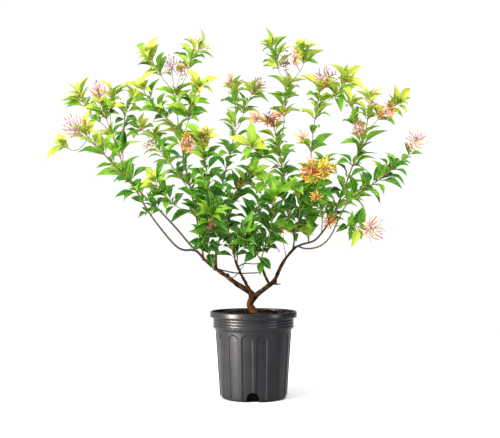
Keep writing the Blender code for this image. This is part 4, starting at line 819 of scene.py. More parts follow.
@dataclass
class Foliage:
    """The leaves of one family of shoots: those of the model, with young leaves between them."""

    name: str
    shoots: tuple[str, ...]
    framework: Framework
    full_length: tuple[float, float] = (46 * MM, 70 * MM)
    full_lean: tuple[float, float] = (0.85, 1.45)
    full_stray: float = 0.4
    tuft_length: tuple[float, float] = (18 * MM, 36 * MM)
    tuft_lean: tuple[float, float] = (0.5, 1.2)
    tuft_reach: float = 3
    slenderness: tuple[float, float] = (0.31, 0.38)
    # Of the lowest leaf in the bunch at a shoot's end, and of the topmost
    tip_length: tuple[float, float] = (55 * MM, 25 * MM)
    tip_lean: tuple[float, float] = (1.2, 0.5)
    tip_below: tuple[float, float] = (14, 1)  # mm
    # Of every leaf in the bunch
    tip_stray: float = 0.15
    tip_growth: tuple[float, float] = (0.7, 1.15)
    tip_turn: float = 2.4
    rise: float = 0.12  # how far leaves turn up
    facing: float = 1.4  # how far they turn to the shoot's tip
    node_reach: float = 7 * MM
    long_gap: float = 26 * MM
    low_gap: float = 22 * MM
    old_share: float = 0.14  # of the leaves are old and dark
    old_shade: float = 0.28
    seats: list[Seat] = field(default_factory=list)
    nodes: dict[str, list[float]] = field(default_factory=dict)

    SHAPES = (LeafShape(0.1, 1.0, 0.2, 0.0, 0.006), LeafShape(0.15, 0.85, 0.32, 0.25, 0.008),
              LeafShape(0.19, 1.2, 0.24, -0.3, 0.008), LeafShape(0.07, 1.1, 0.45, 0.1, 0.005),
              LeafShape(0.23, 0.95, 0.16, -0.15, 0.012), LeafShape(0.13, 1.4, 0.36, 0.4, 0.008))
    WIDTH = 1.14  # of the model's leaves, whose corners are cut
    FOOT_SINK = 0.7  # how much of the stem's radius a leaf's foot is out from its middle
    # Where the plant is densest, as drawn: the low left and high right corners
    HEART = ((-17, 34), (24, 68))
    # Where stems bear leaves down to their feet
    LEAFY_FEET = (((-14, 36), (-4, 47)), ((8, 39), (15, 46)))
    BARE_TIPS = ("right_04", "right_05")  # end in flowers, with no bunch of young leaves
    BARE_REACH = 35 * MM
    # How yellow a leaf is at least, and how much more along its shoot, high up, out wide and near the shoot's
    # end; the yellowing high up and out wide is painted light on the outside of the crown. High and wide are
    # given as where they start and over how many metres they grow.
    TINT_LEAST, TINT_ALONG, TINT_HIGH, TINT_WIDE, TINT_END = 0.16, 0.2, 0.34, 0.16, 0.3
    # How much darker the leaves of the dense heart are made, as painted shade, and how far tints stray at
    # random
    TINT_HEART, TINT_SPREAD = 0.1, 0.15
    HIGH, WIDE, END = (0.5, 0.45), 0.45, 0.75

    def grow(self) -> None:
        """Seats every leaf of the family."""
        for shoot in self.shoots:
            draw = Random(f"leaves of {shoot}")
            path = self.framework.stems[shoot]
            feet = self.read_leaves(shoot, path, draw)
            self.nodes[shoot] = self.whorl_places(feet, path)
            is_bare = shoot in self.BARE_TIPS
            for distance in self.nodes[shoot]:
                if not (is_bare and distance > path.length - self.BARE_REACH):
                    self.fill_whorl(path, distance, draw)
            for leaf in BROAD_LEAVES:
                if leaf.shoot == shoot:
                    distance = path.nearest(path.drawn_nearest(leaf.foot))
                    tip = place(*leaf.tip, path.at(distance)[0].y / CM - leaf.ahead)
                    self.seat_leaf(path, distance, tip, LEAF_LIGHT, leaf.width * MM, draw, leaf.tint)
            if not is_bare:
                self.add_tip(path, draw)

    def read_leaves(self, shoot: str, path: Path, draw: Random) -> list[float]:
        """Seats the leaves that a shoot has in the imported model.

        There, a leaf ends in a point that joins the four corners of its widest section, which are its
        plate's thickness apart in two pairs.

        Args:
            shoot: The shoot's name.
            path: Its smooth path.
            draw: The source of the leaves' differences.

        Returns:
            How far along the path each leaf grows.
        """
        model = bmesh.new()
        model.from_mesh(frame["nodes"][f"leafy_shoot_{shoot}"].data)
        bmesh.ops.remove_doubles(model, verts=model.verts, dist=MERGE)
        feet = []
        for tip in model.verts:
            rim = [edge.other_vert(tip) for edge in tip.link_edges]
            if len(rim) != 4 or max((corner.co - tip.co).length for corner in rim) < LEAST_LEAF:
                continue
            pairs = [(two.co - one.co, (one.co + two.co) / 2) for one, two in combinations(rim, 2)
                     if abs((two.co - one.co).length - LEAF_PLATE) < LEAF_PLATE_SLACK]
            if len(pairs) != 2:
                continue
            near = dict.fromkeys(edge.other_vert(corner) for corner in rim for edge in corner.link_edges)
            base = [vert.co for vert in near if vert not in (tip, *rim)]
            middle = sum(base, Vector()) / len(base)
            upper = pairs[0][0] * (1 if pairs[0][0].dot(pairs[1][0]) > 0 else -1) + pairs[1][0]
            distance = path.nearest(middle)
            if upper.dot(path.at(distance)[2] + LEAF_LIGHT) < 0:
                upper = -upper
            width = (pairs[0][1] - pairs[1][1]).length * self.WIDTH
            self.seat_leaf(path, distance, tip.co.copy(), upper, width, draw)
            feet.append(distance)
        model.free()
        return feet

    def seat_leaf(self, path: Path, distance: float, tip: Vector, upper: Vector, width: float,
                  draw: Random, tint: float | None = None) -> None:
        """Seats one leaf on a stem.

        Args:
            path: The stem's path.
            distance: How far along it the leaf grows.
            tip: Where the leaf's tip is.
            upper: The way its upper side faces.
            width: Its full width.
            draw: The source of its differences.
            tint: How yellow it is, from nearly black-green, if that is settled.
        """
        point, radius, tangent = path.at(distance)
        foot = point + square_to(tip - point, tangent) * radius * self.FOOT_SINK
        if tint is None:
            share = distance / path.length
            high = held((tip.z - self.HIGH[0]) / self.HIGH[1])
            wide = min(abs(tip.x) / self.WIDE, 1)
            # Yellower high up and out wide: painted light on the crown's outside
            tint = self.TINT_LEAST + self.TINT_ALONG * share + self.TINT_HIGH * high + self.TINT_WIDE * wide
            end_share = max((share - self.END) / (1 - self.END), 0)
            tint += draw.gauss(0, self.TINT_SPREAD) + self.TINT_END * end_share
            # Leaves in the dense heart are darker: painted shade
            tint -= self.TINT_HEART if self.is_in_heart(tip) else 0
            tint -= self.old_shade if draw.random() < self.old_share else 0
            # Listed spots darken or lighten the leaves: painted shade and painted light
            tint += sum(change for spot, reach, change in SHADED_SPOTS
                        if (drawn(tip) - Vector(spot)).length < reach)
        self.seats.append(Seat(foot, tip - foot, upper, width, draw.randrange(len(self.SHAPES)), held(tint)))

    def whorl_places(self, feet: list[float], path: Path) -> list[float]:
        """Finds the nodes of a shoot.

        Args:
            feet: How far along the shoot each of its leaves grows.
            path: The shoot's path.

        Returns:
            How far along it the nodes are, with one more in the middle of each long gap.
        """
        places: list[float] = []
        for distance in sorted(feet):
            if not places or distance - places[-1] > self.node_reach:
                places.append(distance)
        for step in range(int(places[0] / self.low_gap)):
            spot = path.at(places[0] - (step + 1) * self.low_gap)[0]
            if any(self.is_within(spot, corners) for corners in self.LEAFY_FEET):
                places.insert(0, places[0] - self.low_gap)
        ends = [*places, path.length]
        return sorted(places + [(low + high) / 2 for low, high in zip(ends, ends[1:])
                                if high - low > self.long_gap])

    @staticmethod
    def is_within(spot: Vector, corners: tuple[tuple[float, float], tuple[float, float]]) -> bool:
        """Says whether a spot is drawn between two corners."""
        (left, low), (right, high) = corners
        return left < drawn(spot).x < right and low < drawn(spot).y < high

    def is_in_heart(self, spot: Vector) -> bool:
        """Says whether a spot is in the dense heart of the plant."""
        return self.is_within(spot, self.HEART)

    def add_leaf(self, path: Path, distance: float, turn: float, lean: float, length: float,
                 draw: Random) -> None:
        """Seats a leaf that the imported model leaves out.

        Args:
            path: The stem's path.
            distance: How far along it the leaf grows.
            turn: Its direction round the stem.
            lean: Its angle from the stem.
            length: Its length.
            draw: The source of its differences.
        """
        point, _, tangent = path.at(distance)
        side = square_to(Vector((1, 0, 0)), tangent)
        out = side * cos(turn) + tangent.cross(side) * sin(turn)
        run = (tangent * cos(lean) + out * sin(lean) + SKY * self.rise).normalized() * length
        if any(leaf.is_covered(point + run / 2) for leaf in BROAD_LEAVES):
            return
        upper = square_to(tangent * self.facing + LEAF_LIGHT, run)
        self.seat_leaf(path, distance, point + run, upper, length * draw.uniform(*self.slenderness), draw)

    def fill_whorl(self, path: Path, distance: float, draw: Random) -> None:
        """Grows the leaves of a node that the model leaves out: full ones and a tuft of small ones."""
        in_heart = self.is_in_heart(path.at(distance)[0])
        first = draw.uniform(0, 2 * pi)
        full = draw.choice((3, 4)) if in_heart else draw.choice((2, 2, 3))
        for number in range(full):
            length = draw.uniform(*self.full_length)
            turn = first + number * 2 * pi / full + draw.uniform(-self.full_stray, self.full_stray)
            self.add_leaf(path, distance, turn, draw.uniform(*self.full_lean), length, draw)
        for _ in range(draw.choice((2, 3)) if in_heart else draw.choice((1, 2))):
            self.add_leaf(path, distance + draw.uniform(0, self.tuft_reach) * MM, draw.uniform(0, 2 * pi),
                          draw.uniform(*self.tuft_lean), draw.uniform(*self.tuft_length), draw)

    def add_tip(self, path: Path, draw: Random) -> None:
        """Grows the bunch of young leaves at a shoot's end."""
        first = draw.uniform(0, 2 * pi)
        count = draw.choice((5, 6, 7))
        for step in range(count):
            length, lean, below = (outer + (inner - outer) * step / (count - 1) for outer, inner in
                                   (self.tip_length, self.tip_lean, self.tip_below))
            lean += draw.uniform(-self.tip_stray, self.tip_stray)
            self.add_leaf(path, path.length - below * MM, first + step * self.tip_turn, lean,
                          length * draw.uniform(*self.tip_growth), draw)

    def build(self, shapes: Collection, tree: NodeTree, finish: Material) -> Object:
        """Builds the leaves as one piece.

        Args:
            shapes: The shelf of leaf shapes.
            tree: The tree that sets shapes on points.
            finish: The leaf's material.

        Returns:
            The piece.
        """
        name = f"leaves_{self.name}"
        return grown(name, seat_mesh(name, self.seats), tree, Shapes=shapes, Finish=finish)


@dataclass
class GreenStems:
    """The stems of one family of shoots, with the swollen nodes that its leaves grow from."""

    name: str
    foliage: Foliage
    pitch: float = 3 * MM
    swelling: float = 0.38
    node_reach: float = 2.6 * MM
    foot_flare: float = 0.3
    foot_reach: float = 5 * MM
    tip_radius: float = 0.45 * MM
    tip_taper: float = 8 * MM
    woody_radius: float = 3.1 * MM
    green_radius: float = 1.0 * MM
    sides: int = 8
    old_share: float = 0.15

    OLD = ("left_08",)  # stays dark to its end

    def line(self, shoot: str) -> Line:
        """Gives the points of one stem, each with its radius and how green it is."""
        path = self.foliage.framework.stems[shoot]
        spots = []
        for distance in path.steps(self.pitch, 4):
            point, radius, _ = path.at(distance)
            near = min([abs(distance - place) for place in self.foliage.nodes[shoot]], default=CM)
            full = radius * (1 + self.swelling * sqrt(max(1 - near / self.node_reach, 0)))
            full *= 1 + self.foot_flare * max(1 - distance / self.foot_reach, 0)
            taper = min((path.length - distance) / self.tip_taper, 1)
            age = (self.woody_radius - radius) / (self.woody_radius - self.green_radius)
            age *= self.old_share if shoot in self.OLD else 1
            spots.append((point, max(full * taper, self.tip_radius), held(age)))
        return spots

    def build(self, tree: NodeTree, finish: Material) -> Object:
        """Builds the stems as one piece."""
        name = f"stems_{self.name}"
        lines = line_mesh(name, [self.line(shoot) for shoot in self.foliage.shoots])
        return grown(name, lines, tree, Sides=self.sides, Finish=finish)


# Flowers

def circle(along: float, radius: float, sides: int) -> list[Vector]:
    """Gives a ring of points round the length of a flower or bud."""
    turns = [2 * pi * side / sides for side in range(sides)]
    return [Vector((along, radius * cos(turn), radius * sin(turn))) for turn in turns]


@dataclass(frozen=True)
class FlowerShape:
    """A tubular flower, one long, that widens to a mouth with small lobes."""

    base: float
    waist: float
    throat: float
    mouth: float
    bend: float

    SIDES = 10
    LOBE = 0.03  # how far the lobes stand ahead of the mouth, and the notches behind it
    NOTCH = 0.72  # of the mouth's radius
    HEART, HEART_DROP = 0.78, 0.6  # how far along it is closed inside, and how much of the bend that follows
    EDGE = radians(75)

    def mesh(self, name: str) -> Mesh:
        """Builds the flower as a closed mesh with a UV map along and round it."""
        rows = ((0.0, self.base), (0.06, self.base * 1.25), (0.16, self.waist),
                (0.55, (self.waist + self.throat) / 2), (0.86, self.throat), (0.97, self.mouth))
        rings, spots = [], []
        for along, radius in rows:
            ring = circle(along, radius, self.SIDES)
            if radius == self.mouth:
                lobes = circle(along + self.LOBE, radius, self.SIDES)
                notches = circle(along - self.LOBE, radius * self.NOTCH, self.SIDES)
                ring = [notches[side] if side % 2 else lobes[side] for side in range(self.SIDES)]
            rings.append([point - SKY * self.bend * along * along for point in ring])
            spots += [(along, side / self.SIDES) for side in range(self.SIDES)]
        heart = Vector((self.HEART, 0, -self.bend * self.HEART_DROP))
        return lofted(name, rings, heart, [*spots, (0.8, 0.5)], self.EDGE)


@dataclass(frozen=True)
class BudShape:
    """A closed bud, one long: a slim spindle with a round tip."""

    fullness: float

    SIDES = 7
    ROWS = ((0.0, 0.35), (0.12, 0.75), (0.4, 0.8), (0.72, 1.0), (0.92, 0.62))
    EDGE = radians(75)

    def mesh(self, name: str) -> Mesh:
        """Builds the bud as a closed mesh with a UV map along and round it."""
        rings = [circle(along, self.fullness * share, self.SIDES) for along, share in self.ROWS]
        spots = [(along / 2, side / self.SIDES) for along, _ in self.ROWS for side in range(self.SIDES)]
        return lofted(name, rings, Vector((1, 0, 0)), [*spots, (0.5, 0.5)], self.EDGE)


@dataclass
class FlowerHeads:
    """The flower heads of one side of the plant: tubular flowers and buds on thin branches."""

    name: str
    blooms: tuple[Bloom, ...]
    framework: Framework
    flower_length: tuple[float, float] = (13 * MM, 21 * MM)
    bud_length: tuple[float, float] = (6 * MM, 12 * MM)
    branch_radius: tuple[float, float] = (0.8 * MM, 0.55 * MM)
    pedicel_radius: float = 0.42 * MM
    pedicel_age: float = 0.6
    pedicel_sag: float = 0.12
    depth: float = 20 * MM
    fullness: tuple[float, float] = (1.9, 1.5)  # flowers for each one counted, of warm heads and of pink ones
    follow: float = 0.4  # how far flowers follow the stalk, turn up and stray
    rise: float = 0.25
    stray: float = 0.55
    crowding: tuple[float, float] = (0.7, 0.8)  # how much of its length and of its way out a flower keeps
    mix: float = 0.1  # spread of the tones
    upward: float = 0.6  # how much height counts in which tips are the outer ones, the buds
    shuffle: float = 4  # mm by which that order strays
    branch_count: tuple[int, int, int] = (2, 6, 5)  # two, one more for every six tips, at most five
    branch_reach: float = 0.5  # of the way to the flowers
    branch_stray: float = 0.55  # to one flower, from the middle of the branch's own
    branch_bow: tuple[float, float] = (-2, 1)  # mm
    sides: int = 6
    flowers: list[Seat] = field(default_factory=list)
    buds: list[Seat] = field(default_factory=list)
    lines: list[Line] = field(default_factory=list)

    # Where the spiral of the tips starts, and how round the head is from front to back
    SPIRAL_START, ROUNDNESS = 0.6, 0.8
    FLOWER_SHAPES = (FlowerShape(0.035, 0.045, 0.07, 0.12, 0.06), FlowerShape(0.04, 0.05, 0.078, 0.1, -0.05),
                     FlowerShape(0.035, 0.046, 0.066, 0.13, 0.12))
    BUD_SHAPES = (BudShape(0.11), BudShape(0.14))

    def grow(self) -> None:
        """Seats every flower, bud and branch."""
        for bloom in self.blooms:
            stalk = self.framework.stalks[bloom.stalk]
            self.add_line(stalk.points, stalk.radii)
            self.fill(bloom, stalk, Random(f"flowers of {bloom.stalk}"))

    def add_line(self, points: list[Vector], radii: list[float], age: float = 1) -> None:
        """Adds a stalk or branch."""
        self.lines.append([(point, radius, age) for point, radius in zip(points, radii)])

    def fill(self, bloom: Bloom, stalk: Path, draw: Random) -> None:
        """Fills the space of one head.

        Args:
            bloom: What the head holds.
            stalk: The path of its stalk.
            draw: The source of its differences.
        """
        heart, _, way = stalk.at(stalk.length)
        (left, low), (right, high) = bloom.low, bloom.high
        middle = place((left + right) / 2, (low + high) / 2, heart.y / CM)
        flowers = round(bloom.flowers * self.fullness[bloom.tones[0] in (PINK, LILAC)])
        half = ((right - left) / 2 * CM, (high - low) / 2 * CM)
        tips = self.spread(middle, half, flowers + bloom.buds, draw)
        tips.sort(key=lambda tip: (tip - middle).dot(way + SKY * self.upward)
                  + draw.uniform(-self.shuffle, self.shuffle) * MM)
        branches = self.branches(heart, tips, draw)
        for number, tip in enumerate(tips):
            is_bud = number >= flowers
            tone = draw.choice(bloom.tones).value
            loose = Vector([draw.uniform(-1, 1) for _ in range(3)])
            out = (tip - heart).normalized() + way * self.follow + SKY * self.rise + loose * self.stray
            length = draw.uniform(*(self.bud_length if is_bud else self.flower_length))
            length = min(length, max((tip - heart).length * self.crowding[1], length * self.crowding[0]))
            run = out.normalized() * length
            tint = held(tone[0] + draw.gauss(0, self.mix))
            blush = held(tone[1] + draw.gauss(0, self.mix) * tone[1])
            upper = square_to(SKY + Vector((draw.uniform(-1, 1), draw.uniform(-1, 1), 0)), run)
            shape = draw.randrange(len(self.BUD_SHAPES if is_bud else self.FLOWER_SHAPES))
            seat = Seat(tip - run, run, upper, run.length, shape, tint, blush)
            (self.buds if is_bud else self.flowers).append(seat)
            self.join(branches, seat.foot)

    def spread(self, middle: Vector, half: tuple[float, float], count: int, draw: Random) -> list[Vector]:
        """Spreads the tips of a head's flowers over its space, evenly, the inner ones first.

        Args:
            middle: The middle of the space.
            half: Half its width and half its height.
            count: The number of tips.
            draw: The source of their differences.

        Returns:
            The tips.
        """
        tips = []
        golden = pi * (3 - sqrt(5))
        first = draw.uniform(0, 2 * pi)
        for number in range(count):
            reach = sqrt((number + self.SPIRAL_START) / count)
            turn = first + number * golden
            deep = draw.uniform(-1, 1) * sqrt(max(1 - reach * reach * self.ROUNDNESS, 0))
            tips.append(middle + Vector((cos(turn) * reach * half[0], deep * self.depth,
                                         sin(turn) * reach * half[1])))
        return tips

    def branches(self, heart: Vector, tips: list[Vector], draw: Random) -> list[Path]:
        """Grows the branches that carry the flowers.

        Args:
            heart: The end of the stalk.
            tips: The tips of the flowers.
            draw: The source of the branches' differences.

        Returns:
            The paths of the branches.
        """
        least, each, most = self.branch_count
        count = min(least + len(tips) // each, most)
        paths = []
        for number in range(count):
            own = tips[number::count]
            goal = sum(own, Vector()) / len(own)
            far = tips[draw.randrange(len(tips))]
            end = heart + (goal.lerp(far, self.branch_stray) - heart) * self.branch_reach
            bow = (heart + end) / 2 + SKY * draw.uniform(*self.branch_bow) * MM
            thick, thin = self.branch_radius
            paths.append(Path([heart, bow, end], [thick, thick, thin]))
            self.add_line(paths[-1].points, paths[-1].radii)
        return paths

    def join(self, branches: list[Path], foot: Vector) -> None:
        """Joins a flower's foot to the nearest branch with a short thin stalk."""
        starts = [branch.at(branch.nearest(foot))[0] for branch in branches]
        start = min(starts, key=lambda point: (point - foot).length)
        if (start - foot).length > MM:
            bow = (start + foot) / 2 - SKY * (start - foot).length * self.pedicel_sag
            self.add_line([start, bow, foot], [self.pedicel_radius] * 3, self.pedicel_age)

    def build(self, shelves: tuple[Collection, Collection], trees: tuple[NodeTree, NodeTree],
              finishes: tuple[Material, Material]) -> list[Object]:
        """Builds the flowers, the buds and the branches.

        Args:
            shelves: The shelves of flower shapes and of bud shapes.
            trees: The tree that sets shapes on points and the tree that makes stems.
            finishes: The petals' material and the branches'.

        Returns:
            The flowers, the buds and the branches, each one piece.
        """
        pieces = []
        for title, seats, shapes in (("flowers", self.flowers, shelves[0]), ("buds", self.buds, shelves[1])):
            name = f"{title}_{self.name}"
            pieces.append(grown(name, seat_mesh(name, seats), trees[0], Shapes=shapes, Finish=finishes[0]))
        name = f"flower_branches_{self.name}"
        lines = line_mesh(name, self.lines)
        return [*pieces, grown(name, lines, trees[1], Sides=self.sides, Finish=finishes[1])]


# Wood

@dataclass
class Wood:
    """The trunk, its limbs and the dead twigs on them."""

    framework: Framework
    voxel: float = 1.1 * MM
    ring_sides: int = 20
    pitch: float = 3 * MM
    evening: tuple[float, int] = (0.5, 6)  # how far and how often the skin is evened
    ridge_depth: float = 0.55 * MM
    ridge_width: float = 3.2 * MM
    ridge_length: float = 16 * MM
    lump_depth: float = 0.9 * MM
    lump_size: float = 14 * MM
    foot_height: float = 205 * MM
    foot_reach: float = 22 * MM
    foot_flare: float = 4.0 * MM
    root_size: float = 2.2
    twig_sides: int = 9
    twig_pitch: float = 4.5 * MM
    twig_crook: tuple[float, float] = (0.5 * MM, 9 * MM)  # how far, and over what length
    twig_swell: tuple[float, float] = (0.15, 4 * MM)
    seed: int = 7

    SEAM = Vector((1, 0.3, 0))  # where the grain of a limb starts, round it

    def limb_mesh(self, paths: list[Path]) -> Mesh:
        """Joins round limbs and knots into one skin."""
        model = bmesh.new()
        for path in paths:
            self.add_limb(model, path)
        for spot, width in KNOTS:
            ball = bmesh.ops.create_icosphere(model, subdivisions=3, radius=width / 2 * MM)["verts"]
            bmesh.ops.translate(model, verts=ball, vec=place(*spot))
        mesh = bpy.data.meshes.new("trunk")
        model.to_mesh(mesh)
        model.free()
        return mesh

    def add_limb(self, model: bmesh.types.BMesh, path: Path) -> None:
        """Adds one limb to a model as a closed tube."""
        rows = []
        side = path.at(0)[2].orthogonal().normalized()
        turns = [2 * pi * number / self.ring_sides for number in range(self.ring_sides)]
        for distance in path.steps(self.pitch, 3):
            point, radius, tangent = path.at(distance)
            side = square_to(side, tangent)
            other = tangent.cross(side)
            rows.append([model.verts.new(point + (side * cos(turn) + other * sin(turn)) * radius)
                         for turn in turns])
        for face in (*ring_faces(rows), rows[0][::-1], rows[-1]):
            model.faces.new(face)

    def roughen(self, mesh: Mesh, paths: list[Path]) -> None:
        """Raises the ridges of the bark and keeps where each point lies along and round its limb.

        Args:
            mesh: The wood's skin.
            paths: The limbs.
        """
        grain, offsets = [], []
        for vert in mesh.vertices:
            spots = []
            for number, path in enumerate(paths):
                distance = path.nearest(vert.co)
                point, radius, tangent = path.at(distance)
                spots.append(((vert.co - point).length - radius, point, radius, tangent, distance + number))
            _, point, radius, tangent, along = min(spots, key=lambda spot: spot[0])
            out = square_to(vert.co - point, tangent)
            side = square_to(self.SEAM, tangent)
            turn = Vector((out.dot(side), out.dot(tangent.cross(side)))) * radius
            grain.append((turn.x, turn.y, along))
            ridge = noise.noise(Vector((turn.x / self.ridge_width, turn.y / self.ridge_width,
                                        along / self.ridge_length)))
            lump = noise.noise(vert.co / self.lump_size)
            flare = 0.0
            if vert.co.z > self.foot_height:
                flare = self.foot_flare * max(1 - (vert.co.z - self.foot_height) / self.foot_reach, 0)
                flare *= 0.5 + 0.5 * noise.noise(Vector((out.x, out.y, 0)) * self.root_size)
            offsets.append(vert.normal * (ridge * self.ridge_depth + lump * self.lump_depth) + out * flare)
        for vert, offset in zip(mesh.vertices, offsets):
            vert.co += offset
        store(mesh, "grain", "FLOAT_VECTOR", grain)

    def build_trunk(self, finish: Material) -> Object:
        """Builds the trunk and limbs as one piece."""
        paths = list(self.framework.limbs.values())
        thing = add_object("trunk_and_limbs_bark", self.limb_mesh(paths))
        skin = thing.modifiers.new("skin", "REMESH")
        skin.mode = "VOXEL"
        skin.voxel_size = self.voxel
        evening = thing.modifiers.new("evening", "SMOOTH")
        evening.factor, evening.iterations = self.evening
        plain_mesh(thing)
        thing.data.shade_smooth()
        self.roughen(thing.data, paths)
        thing.data.materials.append(finish)
        return thing

    def build_twigs(self, tree: NodeTree, finish: Material) -> Object:
        """Builds the dead twigs as one piece."""
        noise.seed_set(self.seed)  # or else noise_vector gives something new each run
        lines = []
        for number, twig in enumerate(TWIGS):
            path = self.framework.stems[twig.name]
            line = []
            for distance in path.steps(self.twig_pitch, 4):
                point, radius, _ = path.at(distance)
                crook = noise.noise_vector(point / self.twig_crook[1] + SKY * number) * self.twig_crook[0]
                swell = 1 + self.twig_swell[0] * noise.noise(point / self.twig_swell[1])
                line.append((point + crook, radius * swell, 0.0))
            lines.append(line)
        return grown("dead_twigs", line_mesh("dead_twigs", lines), tree, Sides=self.twig_sides, Finish=finish)


# Pot

def spin(rows: list[tuple[float, float]], columns: int, turn: float = 0.0) -> list[list[Vector]]:
    """Gives a ring of points for each radius and height, or one point where the radius is nil."""
    turns = [turn + 2 * pi * step / columns for step in range(columns)]
    return [[Vector((radius * sin(angle), -radius * cos(angle), height))
             for angle in (turns if radius > 0 else turns[:1])] for radius, height in rows]


@dataclass
class Pot:
    """The blow-moulded pot: a closed shell with a rolled lip, a ringed neck, arched flutes and drains."""

    rim_radius: float = 115 * MM
    neck_radius: float = 106 * MM
    neck_foot: float = 184.5 * MM
    shoulder_radius: float = 101.2 * MM
    foot_radius: float = 89.2 * MM
    foot_round: float = 12 * MM
    foot_steps: int = 6
    wall: float = 2 * MM
    bottom: float = 2.2 * MM
    turn: float = radians(1.6)
    row: float = 8 * MM
    fine_row: float = MM
    arch_reach: tuple[float, float] = (17 * MM, 3 * MM)  # below and above the flutes' tops, in fine rows
    neck_rows: tuple[float, float, float] = (186.5 * MM, 209.6 * MM, 0.75 * MM)  # from, to and pitch
    ridges: tuple[float, ...] = (190 * MM, 197.5 * MM, 205 * MM)
    ridge_half: float = 2.2 * MM
    ridge_proud: float = 1.4 * MM
    flutes: int = 16
    flute_width: float = 29 * MM
    flute_depth: float = 2.5 * MM
    flute_top: float = 172.5 * MM
    flute_edge: float = 2.6 * MM
    drain_ribs: tuple[int, ...] = (0, 5, 8, 11)  # counted round from the front
    drain_width: float = 33 * MM
    drain_height: float = 25.5 * MM
    drain_inner: float = 73 * MM
    drain_turn: float = radians(-1.3)
    drain_steps: int = 24
    columns: int = 640
    edge: float = radians(68)

    # Radii and heights in mm: of the underside, of the step under the neck, of the lip from its underside
    # over to the inside, and of the inside of the neck
    DISH = ((0.0, 0.8), (30.0, 0.8), (60.0, 0.8), (71.6, 0.7), (73.4, 0.1), (76.0, 0.0))
    STEP = ((101.2, 181.1), (101.5, 182.3), (102.2, 183.1), (103.8, 183.6), (105.3, 184.4), (105.9, 185.7))
    LIP = ((106.0, 210.0), (106.4, 211.4), (107.6, 212.1), (112.6, 212.4), (114.3, 213.1), (114.9, 214.4),
           (115.0, 216.0), (115.0, 224.4), (114.8, 226.2), (114.3, 227.5), (113.4, 228.3), (112.5, 228.5),
           (111.4, 228.2), (111.0, 227.4), (110.6, 224.0), (110.4, 219.0), (109.8, 217.4), (108.4, 216.6),
           (105.4, 216.0), (104.3, 215.0), (104.0, 213.4))
    NECK_INSIDE = ((104.0, 200.0), (104.0, 190.5), (103.4, 189.2), (98.2, 187.2))
    INSIDE_HEIGHTS = (185, 140, 90, 45, 10)  # mm

    @property
    def slope(self) -> float:
        """How much the wall's radius grows for each metre of height."""
        return (self.shoulder_radius - self.foot_radius) / (self.neck_foot - self.foot_round)

    def wall_radius(self, height: float) -> float:
        """The outer radius of the tapered body at a height."""
        return self.foot_radius + (height - self.foot_round) * self.slope

    def inside_radius(self, height: float) -> float:
        """The inner radius of the body at a height, clear of the flutes."""
        return self.wall_radius(height) - self.flute_depth - 0.75 * self.wall

    def outline(self) -> list[tuple[float, float]]:
        """Gives the wall's outline, from the middle of the underside up and back down inside."""
        dish, step, lip, neck = ([(radius * MM, height * MM) for radius, height in spots]
                                 for spots in (self.DISH, self.STEP, self.LIP, self.NECK_INSIDE))
        spots = dish
        middle = self.foot_radius - self.foot_round
        for number in range(self.foot_steps + 1):
            turn = pi / 2 * number / self.foot_steps
            spots.append((middle + self.foot_round * sin(turn), self.foot_round * (1 - cos(turn))))
        height = 14 * MM
        while height < self.neck_foot - 4 * MM:
            spots.append((self.wall_radius(height), height))
            is_fine = -self.arch_reach[0] < height - self.flute_top < self.arch_reach[1]
            height += self.fine_row if is_fine else self.row
        spots += step
        height, end, pitch = self.neck_rows
        while height < end:
            bump = max(max(1 - abs(height - ridge) / self.ridge_half for ridge in self.ridges), 0)
            spots.append((self.neck_radius + self.ridge_proud * bump * bump * (3 - 2 * bump), height))
            height += pitch
        spots += lip + neck
        spots += [(self.inside_radius(height * MM), height * MM) for height in self.INSIDE_HEIGHTS]
        low = spots[-1][0]
        return [*spots, (low - 1.5 * MM, 5.2 * MM), (low - 5 * MM, self.bottom), (40 * MM, self.bottom),
                (0.0, self.bottom)]

    def shell(self) -> Mesh:
        """Turns the outline into a closed shell."""
        rings = spin(self.outline(), self.columns, self.turn)
        return plain("pot_shell", [point for ring in rings for point in ring], ring_faces(bands(rings)))

    def flute_tree(self) -> NodeTree:
        """The tree that presses arch-topped flutes into the outside of the wall."""
        sizes = ("Turn", "Pitch", "Width", "Depth", "Top", "Edge", "Foot Radius", "Slope")
        tree, add, given = open_tree("arched flutes", **dict.fromkeys(sizes, "Float"), Finish="Material")
        parts = add("ShaderNodeSeparateXYZ", {0: add("GeometryNodeInputPosition")})
        east, north, height = parts.outputs
        flat = add("ShaderNodeCombineXYZ", {0: east, 1: north})
        radius = add("ShaderNodeVectorMath", {0: flat}, operation="LENGTH").outputs["Value"]
        south = add("ShaderNodeMath", {0: north, 1: -1.0}, operation="MULTIPLY")
        # How far round the wall a point is from the middle line of its flute
        side = add("ShaderNodeMath", {0: east, 1: south}, operation="ARCTAN2")
        for operation, value in (("SUBTRACT", given["Turn"]), ("DIVIDE", given["Pitch"]), ("FRACT", 0.0),
                                 ("SUBTRACT", 0.5), ("MULTIPLY", given["Pitch"]), ("MULTIPLY", radius)):
            side = add("ShaderNodeMath", {0: side, 1: value}, operation=operation)
